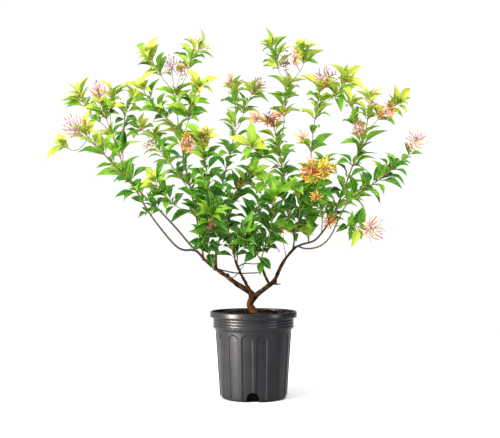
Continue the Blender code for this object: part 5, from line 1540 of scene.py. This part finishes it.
        # How far it is above where the arch springs
        half = add("ShaderNodeMath", {0: given["Width"], 1: 0.5}, operation="MULTIPLY")
        spring = add("ShaderNodeMath", {0: given["Top"], 1: half}, operation="SUBTRACT")
        over = add("ShaderNodeMath", {0: height, 1: spring}, operation="SUBTRACT")
        rise = add("ShaderNodeMath", {0: over, 1: 0.0}, operation="MAXIMUM")
        off = add("ShaderNodeCombineXYZ", {0: side, 1: rise})
        reach = add("ShaderNodeVectorMath", {0: off}, operation="LENGTH").outputs["Value"]
        inner = add("ShaderNodeMath", {0: half, 1: given["Edge"]}, operation="SUBTRACT")
        press = add("ShaderNodeMapRange", {0: reach, 1: half, 2: inner, 3: 0.0, 4: given["Depth"]},
                    interpolation_type="SMOOTHSTEP")
        taper = add("ShaderNodeMath", {0: height, 1: given["Slope"], 2: given["Foot Radius"]},
                    operation="MULTIPLY_ADD")
        floor = add("ShaderNodeMath", {0: taper, 1: press}, operation="SUBTRACT")
        kept = add("ShaderNodeMath", {0: radius, 1: floor}, operation="MINIMUM")
        scale = add("ShaderNodeMath", {0: kept, 1: radius}, operation="DIVIDE")
        pulled = add("ShaderNodeVectorMath", {0: flat, "Scale": scale}, operation="SCALE")
        shift = add("ShaderNodeVectorMath", {0: pulled, 1: flat}, operation="SUBTRACT")
        outside = add("GeometryNodeInputNamedAttribute", {"Name": "fluted"}, data_type="BOOLEAN")
        pressed = add("GeometryNodeSetPosition", {"Geometry": given["Geometry"], "Offset": shift,
                                                  "Selection": outside.outputs["Attribute"]})
        return close_tree(tree, pressed, given["Finish"])

    def is_fluted(self, spot: Vector) -> bool:
        """Says whether a point of the shell is on the outside of the wall, below the neck."""
        out = Vector(spot.xy).length
        is_outside = out > self.wall_radius(spot.z) - 7 * MM and out >= self.inside_radius(spot.z) + 0.2 * MM
        return 0 < spot.z < self.neck_foot - 3.5 * MM and is_outside

    def build(self, finish: Material) -> Object:
        """Builds the pot as one piece."""
        shell = self.shell()
        store(shell, "fluted", "BOOLEAN", [self.is_fluted(vert.co) for vert in shell.vertices])
        pot = grown("nursery_pot", shell, self.flute_tree(), **{
            "Turn": self.turn, "Pitch": 2 * pi / self.flutes, "Width": self.flute_width + self.flute_edge / 2,
            "Depth": self.flute_depth, "Top": self.flute_top + self.flute_edge / 4, "Edge": self.flute_edge,
            "Foot Radius": self.wall_radius(0), "Slope": self.slope, "Finish": finish})
        self.cut_drains(pot)
        pot.data.shade_smooth()
        pot.data.set_sharp_from_angle(angle=self.edge)
        return pot

    def cut_drains(self, thing: Object) -> None:
        """Cuts the arch-topped drains through a piece."""
        cutter = add_object("drain_cutter", self.drain_mesh())
        cut = thing.modifiers.new("drains", "BOOLEAN")
        cut.operation = "DIFFERENCE"
        cut.solver = "EXACT"
        cut.object = cutter
        plain_mesh(thing)
        bpy.data.objects.remove(cutter)

    def drain_mesh(self) -> Mesh:
        """The four prisms that the drains are cut with."""
        half = self.drain_width / 2
        outline = [(-half, -5 * MM), (half, -5 * MM)]
        for step in range(self.drain_steps + 1):
            turn = pi * step / self.drain_steps
            outline.append((half * cos(turn), self.drain_height - half + half * sin(turn)))
        verts, faces = [], []
        for rib in self.drain_ribs:
            angle = self.drain_turn + 2 * pi * rib / self.flutes
            across = Vector((cos(angle), sin(angle), 0))
            out = Vector((sin(angle), -cos(angle), 0))
            outer, inner = bands([outline, outline], len(verts))
            for reach in (self.rim_radius, self.drain_inner):
                verts += [across * side + out * reach + SKY * up for side, up in outline]
            faces += [tuple(outer), tuple(inner)[::-1], *ring_faces([outer, inner], (1, 0, 3, 2))]
        return plain("drain_cutter", verts, faces)


# Potting mix

@dataclass
class PottingMix:
    """The mix that fills the pot, crumbly on top, with bark chips on it."""

    pot: Pot
    edge_height: float = 220.5 * MM
    crown_height: float = 223.0 * MM
    rim_radius: float = 109.9 * MM
    play: float = 0.5 * MM
    crumb: float = 7 * MM
    crumb_rise: float = 2.2 * MM
    columns: int = 160
    rings: int = 52
    edge_fade: tuple[float, float] = (3 * MM, 0.15)  # how far from the rim the crumbs fade, and how much
    chip_density: float = 17000
    chip_size: tuple[float, float] = (5 * MM, 17 * MM)
    chip_slimness: float = 2.2  # the higher, the more of the chips are small
    chip_lean: float = 0.5
    chip_lift: float = 0.8 * MM
    chip_kinds: int = 6
    chip_edge: float = radians(35)
    bare_rim: float = 6 * MM
    seed: int = 7

    # Radii and heights in mm from the neck over the ledge inside the lip
    LEDGE = ((105.2, 216.8), (108.2, 217.4), (109.4, 218.4), (109.9, 219.4))

    def crumbs(self, spot: Vector) -> float:
        """Gives how far the top rises or sinks at a spot."""
        broad = noise.noise(spot / (4 * self.crumb))
        fine = noise.noise(spot / self.crumb) * 0.7 + noise.noise(spot / self.crumb * 2.7) * 0.4
        return (broad * 0.8 + fine) * self.crumb_rise

    def body_mesh(self) -> Mesh:
        """Builds the mix as a closed body with a crumbly top."""
        neck = self.pot.neck_radius - self.pot.wall - self.play
        inside = self.pot.inside_radius
        floor = self.pot.bottom + self.play
        rows = [(0.0, floor), (inside(0.01) - 5.5 * MM, floor), (inside(0.01) - self.play, 10 * MM),
                (inside(0.185) - self.play, 185 * MM), (neck, 189.6 * MM), (neck, 214.6 * MM)]
        rows += [(radius * MM, height * MM) for radius, height in self.LEDGE]
        walls = len(rows)
        for number in range(self.rings + 1):
            share = 1 - number / self.rings
            rise = self.crown_height - (self.crown_height - self.edge_height) * share * share
            rows.append((self.rim_radius * share, rise))
        rings = spin(rows, self.columns)
        reach, least = self.edge_fade
        for (radius, _), ring in zip(rows[walls:], rings[walls:]):
            fade = held((self.rim_radius - radius) / reach, least)
            ring[:] = [spot + SKY * self.crumbs(spot) * fade for spot in ring]
        return plain("mix_body", [point for ring in rings for point in ring], ring_faces(bands(rings)))

    def chip_mesh(self, name: str, draw: Random) -> Mesh:
        """Builds one bark chip, a broken flake about one long.

        Args:
            name: The mesh's name.
            draw: The source of its shape.

        Returns:
            A closed mesh.
        """
        corners = draw.choice((5, 6, 7))
        long = draw.uniform(0.28, 0.6)
        thick = draw.uniform(0.12, 0.26)
        ring = []
        for step in range(corners):
            turn = 2 * pi * (step + draw.uniform(-0.28, 0.28)) / corners
            ring.append((0.5 * cos(turn) * draw.uniform(0.75, 1.05),
                         long * 0.6 * sin(turn) * draw.uniform(0.75, 1.1)))
        verts = [Vector((x * 0.86, y * 0.86, -thick / 2)) for x, y in ring]
        verts += [Vector((x, y, draw.uniform(-0.2, 0.2) * thick)) for x, y in ring]
        verts += [Vector((x * 0.84, y * 0.84, thick / 2 * draw.uniform(0.7, 1.2))) for x, y in ring]
        low, middle, high = bands([ring] * 3)
        mesh = plain(name, verts, [tuple(low)[::-1], tuple(high), *ring_faces([low, middle, high])])
        mesh.set_sharp_from_angle(angle=self.chip_edge)
        return mesh

    def chip_tree(self) -> NodeTree:
        """The tree that strews chips over the top of the mix."""
        tree, add, given = open_tree("strewn bark chips", Chips="Collection", Kinds="Int", Density="Float",
                                     Least="Float", Most="Float", Seed="Int", Finish="Material")
        top = add("GeometryNodeInputNamedAttribute", {"Name": "top"}, data_type="FLOAT")
        strewn = add("GeometryNodeDistributePointsOnFaces", {
            "Mesh": given["Geometry"], "Selection": top.outputs["Attribute"], "Density": given["Density"],
            "Seed": given["Seed"]})
        size = add("FunctionNodeRandomValue", {2: 0.0, 3: 1.0, "Seed": given["Seed"]}, data_type="FLOAT")
        slim = add("ShaderNodeMath", {0: size.outputs[1], 1: self.chip_slimness}, operation="POWER")
        scale = add("ShaderNodeMapRange", {0: slim, 1: 0.0, 2: 1.0, 3: given["Least"], 4: given["Most"]})
        lean = add("FunctionNodeRandomValue", {0: (-self.chip_lean, -self.chip_lean, 0.0),
                                               1: (self.chip_lean, self.chip_lean, 2 * pi)},
                   data_type="FLOAT_VECTOR")
        rotation = add("FunctionNodeEulerToRotation", {"Euler": lean})
        last = add("ShaderNodeMath", {0: given["Kinds"], 1: 1.0}, operation="SUBTRACT")
        kind = add("FunctionNodeRandomValue", {4: 0, 5: last}, data_type="INT")
        chips = add("GeometryNodeCollectionInfo", {"Collection": given["Chips"], "Separate Children": True,
                                                   "Reset Children": True})
        lifted = add("GeometryNodeSetPosition", {"Geometry": strewn, "Offset": (0.0, 0.0, self.chip_lift)})
        hue = add("FunctionNodeRandomValue", {2: 0.0, 3: 1.0}, data_type="FLOAT")
        tinted = add("GeometryNodeStoreNamedAttribute", {"Geometry": lifted, "Name": "tint",
                                                         "Value": hue.outputs[1]}, data_type="FLOAT")
        placed = add("GeometryNodeInstanceOnPoints", {
            "Points": tinted, "Instance": chips, "Pick Instance": True, "Instance Index": kind.outputs[2],
            "Rotation": rotation, "Scale": scale})
        return close_tree(tree, placed, given["Finish"])

    def build(self, finish: Material, chip_finish: Material) -> list[Object]:
        """Builds the mix and its chips.

        Args:
            finish: The mix's material.
            chip_finish: The chips' material.

        Returns:
            The mix and the chips, each one piece.
        """
        mix = add_object("crumbly_mix", self.body_mesh())
        self.pot.cut_drains(mix)
        mix.data.materials.append(finish)
        draw = Random(self.seed)
        kinds = [self.chip_mesh(f"bark_chip_{number}", draw) for number in range(self.chip_kinds)]
        chips = shelf("bark_chips", kinds)
        ground = self.body_mesh()
        low, reach = self.edge_height - 2 * MM, self.rim_radius - self.bare_rim
        store(ground, "top", "FLOAT", [float(vert.co.z > low and vert.co.xy.length < reach)
                                       for vert in ground.vertices])
        strewn = grown("strewn_bark_chips", ground, self.chip_tree(), Chips=chips, Kinds=len(kinds),
                       Density=self.chip_density, Least=self.chip_size[0], Most=self.chip_size[1],
                       Seed=self.seed, Finish=chip_finish)
        clear_shelf(chips)
        return [mix, strewn]


# Finishes

Ramp = tuple[tuple[float, str], ...]  # the places and hex colours of a colour ramp


@dataclass(frozen=True)
class Spots:
    """A cloudy pattern: the size of its spots, their detail, and the least and the most that it gives."""

    size: float
    detail: int
    least: float = 0.0
    most: float = 1.0


Relief = tuple[tuple[Spots, float], ...]  # patterns that rise, and how far


@dataclass(frozen=True)
class Finish:
    """What the finishes share: colours that follow spots, with an attribute of the piece, and a relief."""

    name: str = ""
    shades: Ramp = ()
    spots: Spots = Spots(CM, 2)
    attribute: str = ""  # what the spots are added to, where the piece has it
    roughness: float = 0.5
    ior: float = 1.45
    shine: float = 0.5  # the strength of its reflections
    relief: Relief = ()

    def material(self) -> Material:
        """Builds the material."""
        material = bpy.data.materials.new(self.name)
        material.use_nodes = True
        shader = material.node_tree.nodes["Principled BSDF"]
        set_inputs(shader, {"Roughness": self.roughness, "IOR": self.ior, "Specular IOR Level": self.shine})
        add = partial(add_node, material.node_tree)
        self.paint(add, add("ShaderNodeTexCoord").outputs["Object"], shader)
        return material

    @staticmethod
    def clouds(add: Callable[..., Node], where: NodeSocket | Node, *patterns: Spots) -> list[Node]:
        """Draws cloudy patterns and stretches each over what it gives."""
        drawn_spots = []
        for spots in patterns:
            cloud = add("ShaderNodeTexNoise", {"Vector": where, "Scale": 1 / spots.size,
                                               "Detail": spots.detail})
            drawn_spots.append(add("ShaderNodeMapRange", {0: cloud, 1: NOISE_LOW, 2: NOISE_HIGH,
                                                          3: spots.least, 4: spots.most}))
        return drawn_spots

    def paint(self, add: Callable[..., Node], where: NodeSocket, shader: Node) -> None:
        """Gives the shader its colours and its relief.

        Args:
            add: What adds a node to the material.
            where: The place on the piece.
            shader: The shader.
        """
        shade, *heights = self.clouds(add, where, self.spots, *(spots for spots, _ in self.relief))
        if self.attribute:
            own = add("ShaderNodeAttribute", attribute_name=self.attribute).outputs["Fac"]
            shade = add("ShaderNodeMath", {0: own, 1: shade}, operation="ADD")
        set_inputs(shader, {"Base Color": add("ShaderNodeValToRGB", {0: shade}, self.shades)})
        below = {}
        for height, (_, depth) in zip(heights, self.relief):
            raised = {"Height": height, "Distance": depth, "Strength": 1.0}
            below = {"Normal": add("ShaderNodeBump", {**raised, **below})}
        set_inputs(shader, below)


@dataclass(frozen=True)
class PotPlastic(Finish):
    """Black polyethylene, blow moulded: a satin skin, faintly wavy, that spreads a broad soft highlight."""

    name: str = "pot_satin_polyethylene"
    shades: Ramp = ((0.0, "0F1013"), (1.0, "151619"))
    spots: Spots = Spots(45 * MM, 4)
    wear: Spots = Spots(9 * MM, 3, 0.31, 0.36)  # how rough it is
    ior: float = 1.51
    shine: float = 0.12
    # Waves of the wall, then its grain, which is finer on a real pot; this is the finest that shows
    relief: Relief = ((Spots(22 * MM, 1), 0.06 * MM), (Spots(1.6 * MM, 2), 0.006 * MM))

    def paint(self, add: Callable[..., Node], where: NodeSocket, shader: Node) -> None:
        """Wears the skin here and there, beside its colours and relief."""
        super().paint(add, where, shader)
        set_inputs(shader, {"Roughness": self.clouds(add, where, self.wear)[0]})


@dataclass(frozen=True)
class LeafSkin(Finish):
    """A firebush leaf: smooth and slightly waxy above, with sunken veins, and paler and duller beneath."""

    name: str = "firebush_leaf"
    shades: Ramp = ((0.0, "0A3208"), (0.3, "24600C"), (0.6, "62901A"), (1.0, "A6A840"))
    spots: Spots = Spots(14 * MM, 1, -0.08, 0.08)
    roughness: float = 0.4
    under_roughness: float = 0.6
    ior: float = 1.42
    shine: float = 0.2
    under: str = "6C9038"
    vein: str = "86A63A"
    stalk: str = "A0563A"
    under_share: float = 0.5
    midrib_share: float = 0.55
    vein_share: float = 0.22
    stalk_share: float = 0.75
    stalk_end: tuple[float, float] = (0.2, 0.1)  # where the stalk's colour fades, along the leaf
    midrib: tuple[float, float] = (0.05, 0.012)  # off the middle
    veins: float = 7
    sweep: float = -0.42
    vein_width: tuple[float, float] = (0.12, 0.02)
    young: tuple[float, float] = (0.4, 0.75)  # the tints from which the side veins fade
    young_veins: float = 0.2
    vein_depth: float = 0.12 * MM
    glow: float = 0.2  # light that passes through the thin blade
    glow_hue: tuple[float, float, float] = (0.5, 1.0, 0.1)
    glow_depth: float = 2 * MM

    def vein_pattern(self, add: Callable[..., Node]) -> tuple[Node, Node, NodeSocket]:
        """Draws the midrib and the side veins, which run forwards from it.

        Args:
            add: What adds a node to the material.

        Returns:
            The midrib, the side veins and how far along the leaf a point lies.
        """
        parts = add("ShaderNodeSeparateXYZ", {0: add("ShaderNodeUVMap", uv_map="UVMap")})
        along, across, _ = parts.outputs
        centred = add("ShaderNodeMath", {0: across, 1: 0.5}, operation="SUBTRACT")
        off = add("ShaderNodeMath", {0: centred}, operation="ABSOLUTE")
        midrib = add("ShaderNodeMapRange", {0: off, 1: self.midrib[0], 2: self.midrib[1], 3: 0.0, 4: 1.0})
        swept = add("ShaderNodeMath", {0: off, 1: self.sweep, 2: along}, operation="MULTIPLY_ADD")
        beat = add("ShaderNodeMath", {0: swept, 1: self.veins}, operation="MULTIPLY")
        wave = add("ShaderNodeMath", {0: beat, 1: 0.5}, operation="PINGPONG")
        side = add("ShaderNodeMapRange", {0: wave, 1: self.vein_width[0], 2: self.vein_width[1],
                                          3: 0.0, 4: 1.0})
        return midrib, side, along

    def paint(self, add: Callable[..., Node], where: NodeSocket, shader: Node) -> None:
        """Lays the veins, the underside and the stalk over the greens."""
        midrib, side, along = self.vein_pattern(add)
        tint = add("ShaderNodeAttribute", attribute_name="tint").outputs["Fac"]
        under = add("ShaderNodeAttribute", attribute_name="under").outputs["Fac"]
        blotch = self.clouds(add, where, self.spots)[0]
        shade = add("ShaderNodeMath", {0: tint, 1: blotch}, operation="ADD")
        bold = add("ShaderNodeMapRange", {0: tint, 1: self.young[0], 2: self.young[1], 3: 1.0,
                                          4: self.young_veins})
        side = add("ShaderNodeMath", {0: side, 1: bold}, operation="MULTIPLY")
        near = add("ShaderNodeMapRange", {0: along, 1: self.stalk_end[0], 2: self.stalk_end[1],
                                          3: 0.0, 4: 1.0})
        colour = add("ShaderNodeValToRGB", {0: shade}, self.shades).outputs[0]
        for part, share, hue in ((side, self.vein_share, self.vein), (midrib, self.midrib_share, self.vein),
                                 (under, self.under_share, self.under), (near, self.stalk_share, self.stalk)):
            much = add("ShaderNodeMath", {0: part, 1: share}, operation="MULTIPLY")
            colour = add("ShaderNodeMix", {0: much, 6: colour, 7: linear(hue)}, data_type="RGBA").outputs[2]
        gloss = add("ShaderNodeMapRange", {0: under, 1: 0.0, 2: 1.0, 3: self.roughness,
                                           4: self.under_roughness})
        raised = add("ShaderNodeMath", {0: midrib, 1: side}, operation="MAXIMUM")
        sunk = add("ShaderNodeMath", {0: 1.0, 1: raised}, operation="SUBTRACT")
        bump = add("ShaderNodeBump", {"Height": sunk, "Distance": self.vein_depth, "Strength": 1.0})
        set_inputs(shader, {"Base Color": colour, "Roughness": gloss, "Normal": bump,
                            "Subsurface Weight": self.glow, "Subsurface Radius": self.glow_hue,
                            "Subsurface Scale": self.glow_depth})


@dataclass(frozen=True)
class GreenBark(Finish):
    """The skin of a shoot: brown and woody at its foot, then olive, then fresh green at its end."""

    name: str = "firebush_green_bark"
    shades: Ramp = ((0.0, "33251A"), (0.3, "443A20"), (0.65, "605A2C"), (1.0, "767C3C"))
    spots: Spots = Spots(11 * MM, 3, -0.18, 0.18)
    attribute: str = "age"
    roughness: float = 0.55
    ior: float = 1.42
    relief: Relief = ((Spots(2.2 * MM, 2), 0.2 * MM),)


@dataclass(frozen=True)
class Petal(Finish):
    """A firebush flower: a waxy tube, deep red at its foot and orange to yellow at its mouth, or pink."""

    name: str = "firebush_petal"
    shades: Ramp = ((0.0, "5E0F0C"), (0.28, "A8300E"), (0.58, "CC6C1A"), (1.0, "E0BE44"))
    pink: Ramp = ((0.0, "462C46"), (0.5, "945A64"), (1.0, "CC986A"))
    spots: Spots = Spots(4 * MM, 2, -0.06, 0.06)
    ripening: float = 0.3
    roughness: float = 0.42
    ior: float = 1.4
    glow: float = 0.15  # light that passes through the tube
    glow_hue: tuple[float, float, float] = (1.0, 0.4, 0.2)
    glow_depth: float = 2 * MM

    def paint(self, add: Callable[..., Node], where: NodeSocket, shader: Node) -> None:
        """Ripens the colour from the foot to the mouth, in warm tones or in pink ones."""
        along = add("ShaderNodeSeparateXYZ", {0: add("ShaderNodeUVMap", uv_map="UVMap")})
        tint = add("ShaderNodeAttribute", attribute_name="tint").outputs["Fac"]
        blush = add("ShaderNodeAttribute", attribute_name="blush").outputs["Fac"]
        ripe = add("ShaderNodeMapRange", {0: along, 1: 0.0, 2: 1.0, 3: -self.ripening, 4: self.ripening})
        riper = add("ShaderNodeMath", {0: tint, 1: ripe}, operation="ADD")
        patch = self.clouds(add, where, self.spots)[0]
        shade = add("ShaderNodeMath", {0: riper, 1: patch}, operation="ADD")
        warm, pink = (add("ShaderNodeValToRGB", {0: shade}, ramp) for ramp in (self.shades, self.pink))
        colour = add("ShaderNodeMix", {0: blush, 6: warm, 7: pink}, data_type="RGBA").outputs[2]
        set_inputs(shader, {"Base Color": colour, "Subsurface Weight": self.glow,
                            "Subsurface Radius": self.glow_hue, "Subsurface Scale": self.glow_depth})


@dataclass(frozen=True)
class FlowerBranch(Finish):
    """The skin of the flower branches: thin, smooth and flushed pink, greener towards the flowers."""

    name: str = "firebush_flower_branch"
    shades: Ramp = ((0.0, "6E6C2C"), (0.6, "7C4C3C"), (1.0, "7E3E52"))
    spots: Spots = Spots(5 * MM, 2, -0.2, 0.2)
    attribute: str = "age"
    ior: float = 1.42


@dataclass(frozen=True)
class WoodyBark(Finish):
    """Young firebush bark: red-brown with fine light streaks along the limb, orange-brown at the foot."""

    name: str = "firebush_woody_bark"
    shades: Ramp = ((0.0, "160A06"), (0.4, "2E190E"), (0.65, "4E2F17"), (1.0, "8C623A"))
    spots: Spots = Spots(12 * MM, 3, -0.3, 0.3)
    roughness: float = 0.68
    ior: float = 1.46
    shine: float = 0.12
    foot: str = "7A4A12"
    foot_heights: tuple[float, float] = (262 * MM, 232 * MM)  # from where it shows to where it is full
    foot_share: float = 0.7
    streak: tuple[float, float] = (1.8 * MM, 14 * MM)  # across and along the limb
    crack_depth: float = 0.5 * MM

    def paint(self, add: Callable[..., Node], where: NodeSocket, shader: Node) -> None:
        """Streaks the bark along the grain that the piece keeps, and colours its foot."""
        grain = add("ShaderNodeAttribute", attribute_name="grain").outputs["Vector"]
        across, along = (1 / size for size in self.streak)
        stretched = add("ShaderNodeMapping", {"Vector": grain, "Scale": (across, across, along)})
        streaks = self.clouds(add, stretched, Spots(1.0, 4))[0]
        patch = self.clouds(add, where, self.spots)[0]
        shade = add("ShaderNodeMath", {0: streaks, 1: patch}, operation="ADD")
        brown = add("ShaderNodeValToRGB", {0: shade}, self.shades)
        height = add("ShaderNodeSeparateXYZ", {0: where}).outputs[2]
        low = add("ShaderNodeMapRange", {0: height, 1: self.foot_heights[0], 2: self.foot_heights[1],
                                         3: 0.0, 4: self.foot_share})
        colour = add("ShaderNodeMix", {0: low, 6: brown, 7: linear(self.foot)}, data_type="RGBA").outputs[2]
        bump = add("ShaderNodeBump", {"Height": streaks, "Distance": self.crack_depth, "Strength": 1.0})
        set_inputs(shader, {"Base Color": colour, "Normal": bump})


@dataclass(frozen=True)
class DeadTwig(Finish):
    """A dead twig: dry grey-brown bark, split into flakes."""

    name: str = "dry_twig_bark"
    shades: Ramp = ((0.0, "140D0A"), (0.5, "2E2016"), (1.0, "584030"))
    spots: Spots = Spots(3 * MM, 4)
    roughness: float = 0.8
    ior: float = 1.46
    relief: Relief = ((Spots(3 * MM, 4), 0.25 * MM),)


@dataclass(frozen=True)
class DampMix(Finish):
    """Damp peat and composted bark: nearly black crumbs, matt, with a few lighter fibres."""

    name: str = "damp_potting_mix"
    shades: Ramp = ((0.0, "060504"), (0.55, "0E0B09"), (1.0, "1E1611"))
    spots: Spots = Spots(3 * MM, 5)
    roughness: float = 0.95
    ior: float = 1.4
    shine: float = 0.07
    relief: Relief = ((Spots(3 * MM, 5), 1.2 * MM),)


@dataclass(frozen=True)
class PineBark(Finish):
    """Composted pine bark in chips: red-brown to nearly black, in thin layers that show as streaks."""

    name: str = "composted_bark_chip"
    shades: Ramp = ((0.0, "080605"), (0.55, "160E0C"), (0.82, "371F17"), (1.0, "5C3A2E"))
    spots: Spots = Spots(1.2 * MM, 3, -0.22, 0.22)
    attribute: str = "tint"
    roughness: float = 0.9
    shine: float = 0.07
    relief: Relief = ((Spots(1.2 * MM, 3), 0.4 * MM),)


@dataclass(frozen=True)
class StudioFloor(Finish):
    """Matt white studio board: a pale, even floor."""

    name: str = "matt_white_board"
    shades: Ramp = ((0.0, "F1F1F0"), (1.0, "F6F6F5"))
    spots: Spots = Spots(0.3, 2)
    roughness: float = 0.9
    shine: float = 0.1


# Studio

@dataclass(frozen=True)
class Softbox:
    """A square studio light that faces the plant: where it stands, its width, its power and its colour."""

    name: str
    azimuth: float  # degrees, from the front round to the right
    elevation: float
    distance: float
    width: float
    power: float
    colour: str
    lit: tuple[str, ...] = ()  # the only pieces it lights, where it is flagged off from the rest

    def set_up(self, aim: Vector) -> None:
        """Puts the light in the scene."""
        lamp = bpy.data.lights.new(self.name, "AREA")
        lamp.size = self.width
        lamp.energy = self.power
        lamp.color = linear(self.colour)[:3]
        stand = bpy.data.objects.new(self.name, lamp)
        turn, lift = radians(self.azimuth), radians(self.elevation)
        away = Vector((sin(turn) * cos(lift), -cos(turn) * cos(lift), sin(lift)))
        stand.location = aim + away * self.distance
        stand.rotation_euler = away.to_track_quat("Z", "Y").to_euler()
        stand.visible_camera = False
        bpy.context.scene.collection.objects.link(stand)
        if self.lit:
            chosen = bpy.data.collections.new(f"lit_by_{self.name}")
            for name in self.lit:
                chosen.objects.link(bpy.data.objects[name])
            stand.light_linking.receiver_collection = chosen


LEAFY_PIECES = (*(f"{kind}_{family}" for kind in ("leaves", "stems") for family in FAMILIES),
                *(f"{kind}_{side}" for kind in ("flowers", "buds", "flower_branches") for side in SIDES))


@dataclass(frozen=True)
class Studio:
    """The floor, the lights and the camera."""

    floor_reach: float = 1.9
    floor_sides: int = 96
    aim: tuple[float, float, float] = (-0.0093, 0.0, 0.473)
    camera_spot: tuple[float, float, float] = (0.0, -2.4, 0.4)
    lens: float = 64.8
    lights: tuple[Softbox, ...] = (
        Softbox("key_light", -48, 30, 2.6, 0.8, 85, "FFF8EE"),
        Softbox("high_light", 15, 60, 3.0, 1.2, 36, "FFFFFF"),
        Softbox("leaf_fill", 12, 4, 3.0, 2.4, 95, "FFFFFF", LEAFY_PIECES),
        Softbox("pot_key", -56, -5, 2.2, 0.75, 420, "FFF6EC", ("nursery_pot",)),
        Softbox("pot_fill", 57, -2, 2.4, 0.4, 55, "F0F5FF", ("nursery_pot",)),
        Softbox("ceiling_light", 0, 88, 3.2, 8.0, 250, "FFFFFF"),
        Softbox("back_light", 165, 45, 2.8, 1.6, 16, "FFFFFF"))
    # How strong the surroundings are on the left, on the right, behind the plant and overhead
    left: float = 1.3
    right: float = 0.18
    behind: float = 1.04
    dome: float = 0.4

    SPREADS = ((-0.85, -0.3), (0.7, 0.92), (0.4, 0.7))  # where those fade in: across, back and up

    def lay_floor(self, finish: Material) -> None:
        """Lays the floor, a round sheet whose edge is lost in the white round it."""
        turns = [2 * pi * step / self.floor_sides for step in range(self.floor_sides)]
        corners = [(self.floor_reach * cos(turn), self.floor_reach * sin(turn), 0) for turn in turns]
        mesh = bpy.data.meshes.new("studio_floor")
        mesh.from_pydata(corners, [], [range(self.floor_sides)])
        mesh.materials.append(finish)
        add_object("studio_floor", mesh)

    def light(self) -> None:
        """Sets up the lights and the surroundings, which look plain white but light the left side more."""
        for lamp in self.lights:
            lamp.set_up(Vector(self.aim))
        world = bpy.data.worlds.new("white_studio")
        world.use_nodes = True
        tree = world.node_tree
        add = partial(add_node, tree)
        parts = add("ShaderNodeSeparateXYZ", {0: add("ShaderNodeTexCoord").outputs["Generated"]})
        glow = self.left
        strengths = (self.right, self.behind, self.dome)
        for way, (start, end), strength in zip(parts.outputs, self.SPREADS, strengths):
            glow = add("ShaderNodeMapRange", {0: way, 1: start, 2: end, 3: glow, 4: strength},
                       interpolation_type="SMOOTHSTEP")
        ray = add("ShaderNodeLightPath").outputs["Is Camera Ray"]
        seen = add("ShaderNodeMix", {0: ray, 2: glow, 3: self.behind}, data_type="FLOAT")
        set_inputs(tree.nodes["Background"], {"Strength": seen, "Color": linear("FFFFFF")})
        bpy.context.scene.world = world
        bpy.context.scene.view_settings.view_transform = "Standard"

    def set_camera(self) -> None:
        """Sets the camera where the photograph was taken from."""
        lens = bpy.data.cameras.new("camera")
        lens.lens = self.lens
        camera = bpy.data.objects.new("camera", lens)
        camera.location = self.camera_spot
        sight = Vector(self.aim) - Vector(self.camera_spot)
        camera.rotation_euler = sight.to_track_quat("-Z", "Y").to_euler()
        bpy.context.scene.collection.objects.link(camera)
        bpy.context.scene.camera = camera


# Assembly

def hand_over(piece: Object, nodes: list[str]) -> None:
    """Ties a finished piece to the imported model.

    Args:
        piece: The piece.
        nodes: The nodes that it stands for.
    """
    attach(piece, "root")
    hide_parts(*nodes)
    LOG.info("%s: %d faces, for %s", piece.name, len(piece.data.polygons), ", ".join(nodes))


def build_pot() -> None:
    """Builds the pot and what fills it."""
    pot = Pot()
    hand_over(pot.build(PotPlastic().material()), ["pot"])
    for piece in PottingMix(pot).build(DampMix().material(), PineBark().material()):
        hand_over(piece, ["potting_mix"])


def build_plant() -> None:
    """Builds the wood, the leafy shoots and the flower heads."""
    framework = Framework()
    stems, scatter = tube_tree(), scatter_tree()
    wood = Wood(framework)
    hand_over(wood.build_trunk(WoodyBark().material()), ["trunk_and_limbs"])
    hand_over(wood.build_twigs(stems, DeadTwig().material()), ["trunk_and_limbs"])
    leaf, green_bark = LeafSkin().material(), GreenBark().material()
    shapes = shelf("leaf", [shape.mesh(f"leaf_{number}") for number, shape in enumerate(Foliage.SHAPES)])
    for name, shoots in FAMILIES.items():
        nodes = [f"leafy_shoot_{shoot}" for shoot in shoots]
        foliage = Foliage(name, shoots, framework)
        foliage.grow()
        hand_over(foliage.build(shapes, scatter, leaf), nodes)
        hand_over(GreenStems(name, foliage).build(stems, green_bark), nodes)
    clear_shelf(shapes)
    petal, branch = Petal().material(), FlowerBranch().material()
    shelves = (shelf("flower", [shape.mesh("flower") for shape in FlowerHeads.FLOWER_SHAPES]),
               shelf("bud", [shape.mesh("bud") for shape in FlowerHeads.BUD_SHAPES]))
    for side in SIDES:
        nodes = [f"flower_head_{head.name}" for head in FLOWER_HEADS if head.name.startswith(side)]
        blooms = tuple(bloom for bloom in BLOOMS if bloom.side == side)
        heads = FlowerHeads(side, blooms, framework)
        heads.grow()
        for piece in heads.build(shelves, (scatter, stems), (petal, branch)):
            hand_over(piece, nodes)
    for kept in shelves:
        clear_shelf(kept)


def main() -> None:
    """Builds the plant in its pot, piece by piece, and the studio round it."""
    logging.basicConfig(level=logging.INFO, format="%(name)s %(message)s")
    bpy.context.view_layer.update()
    studio = Studio()
    studio.set_camera()
    build_pot()
    build_plant()
    studio.lay_floor(StudioFloor().material())
    studio.light()


if __name__ == "__main__":
    main()
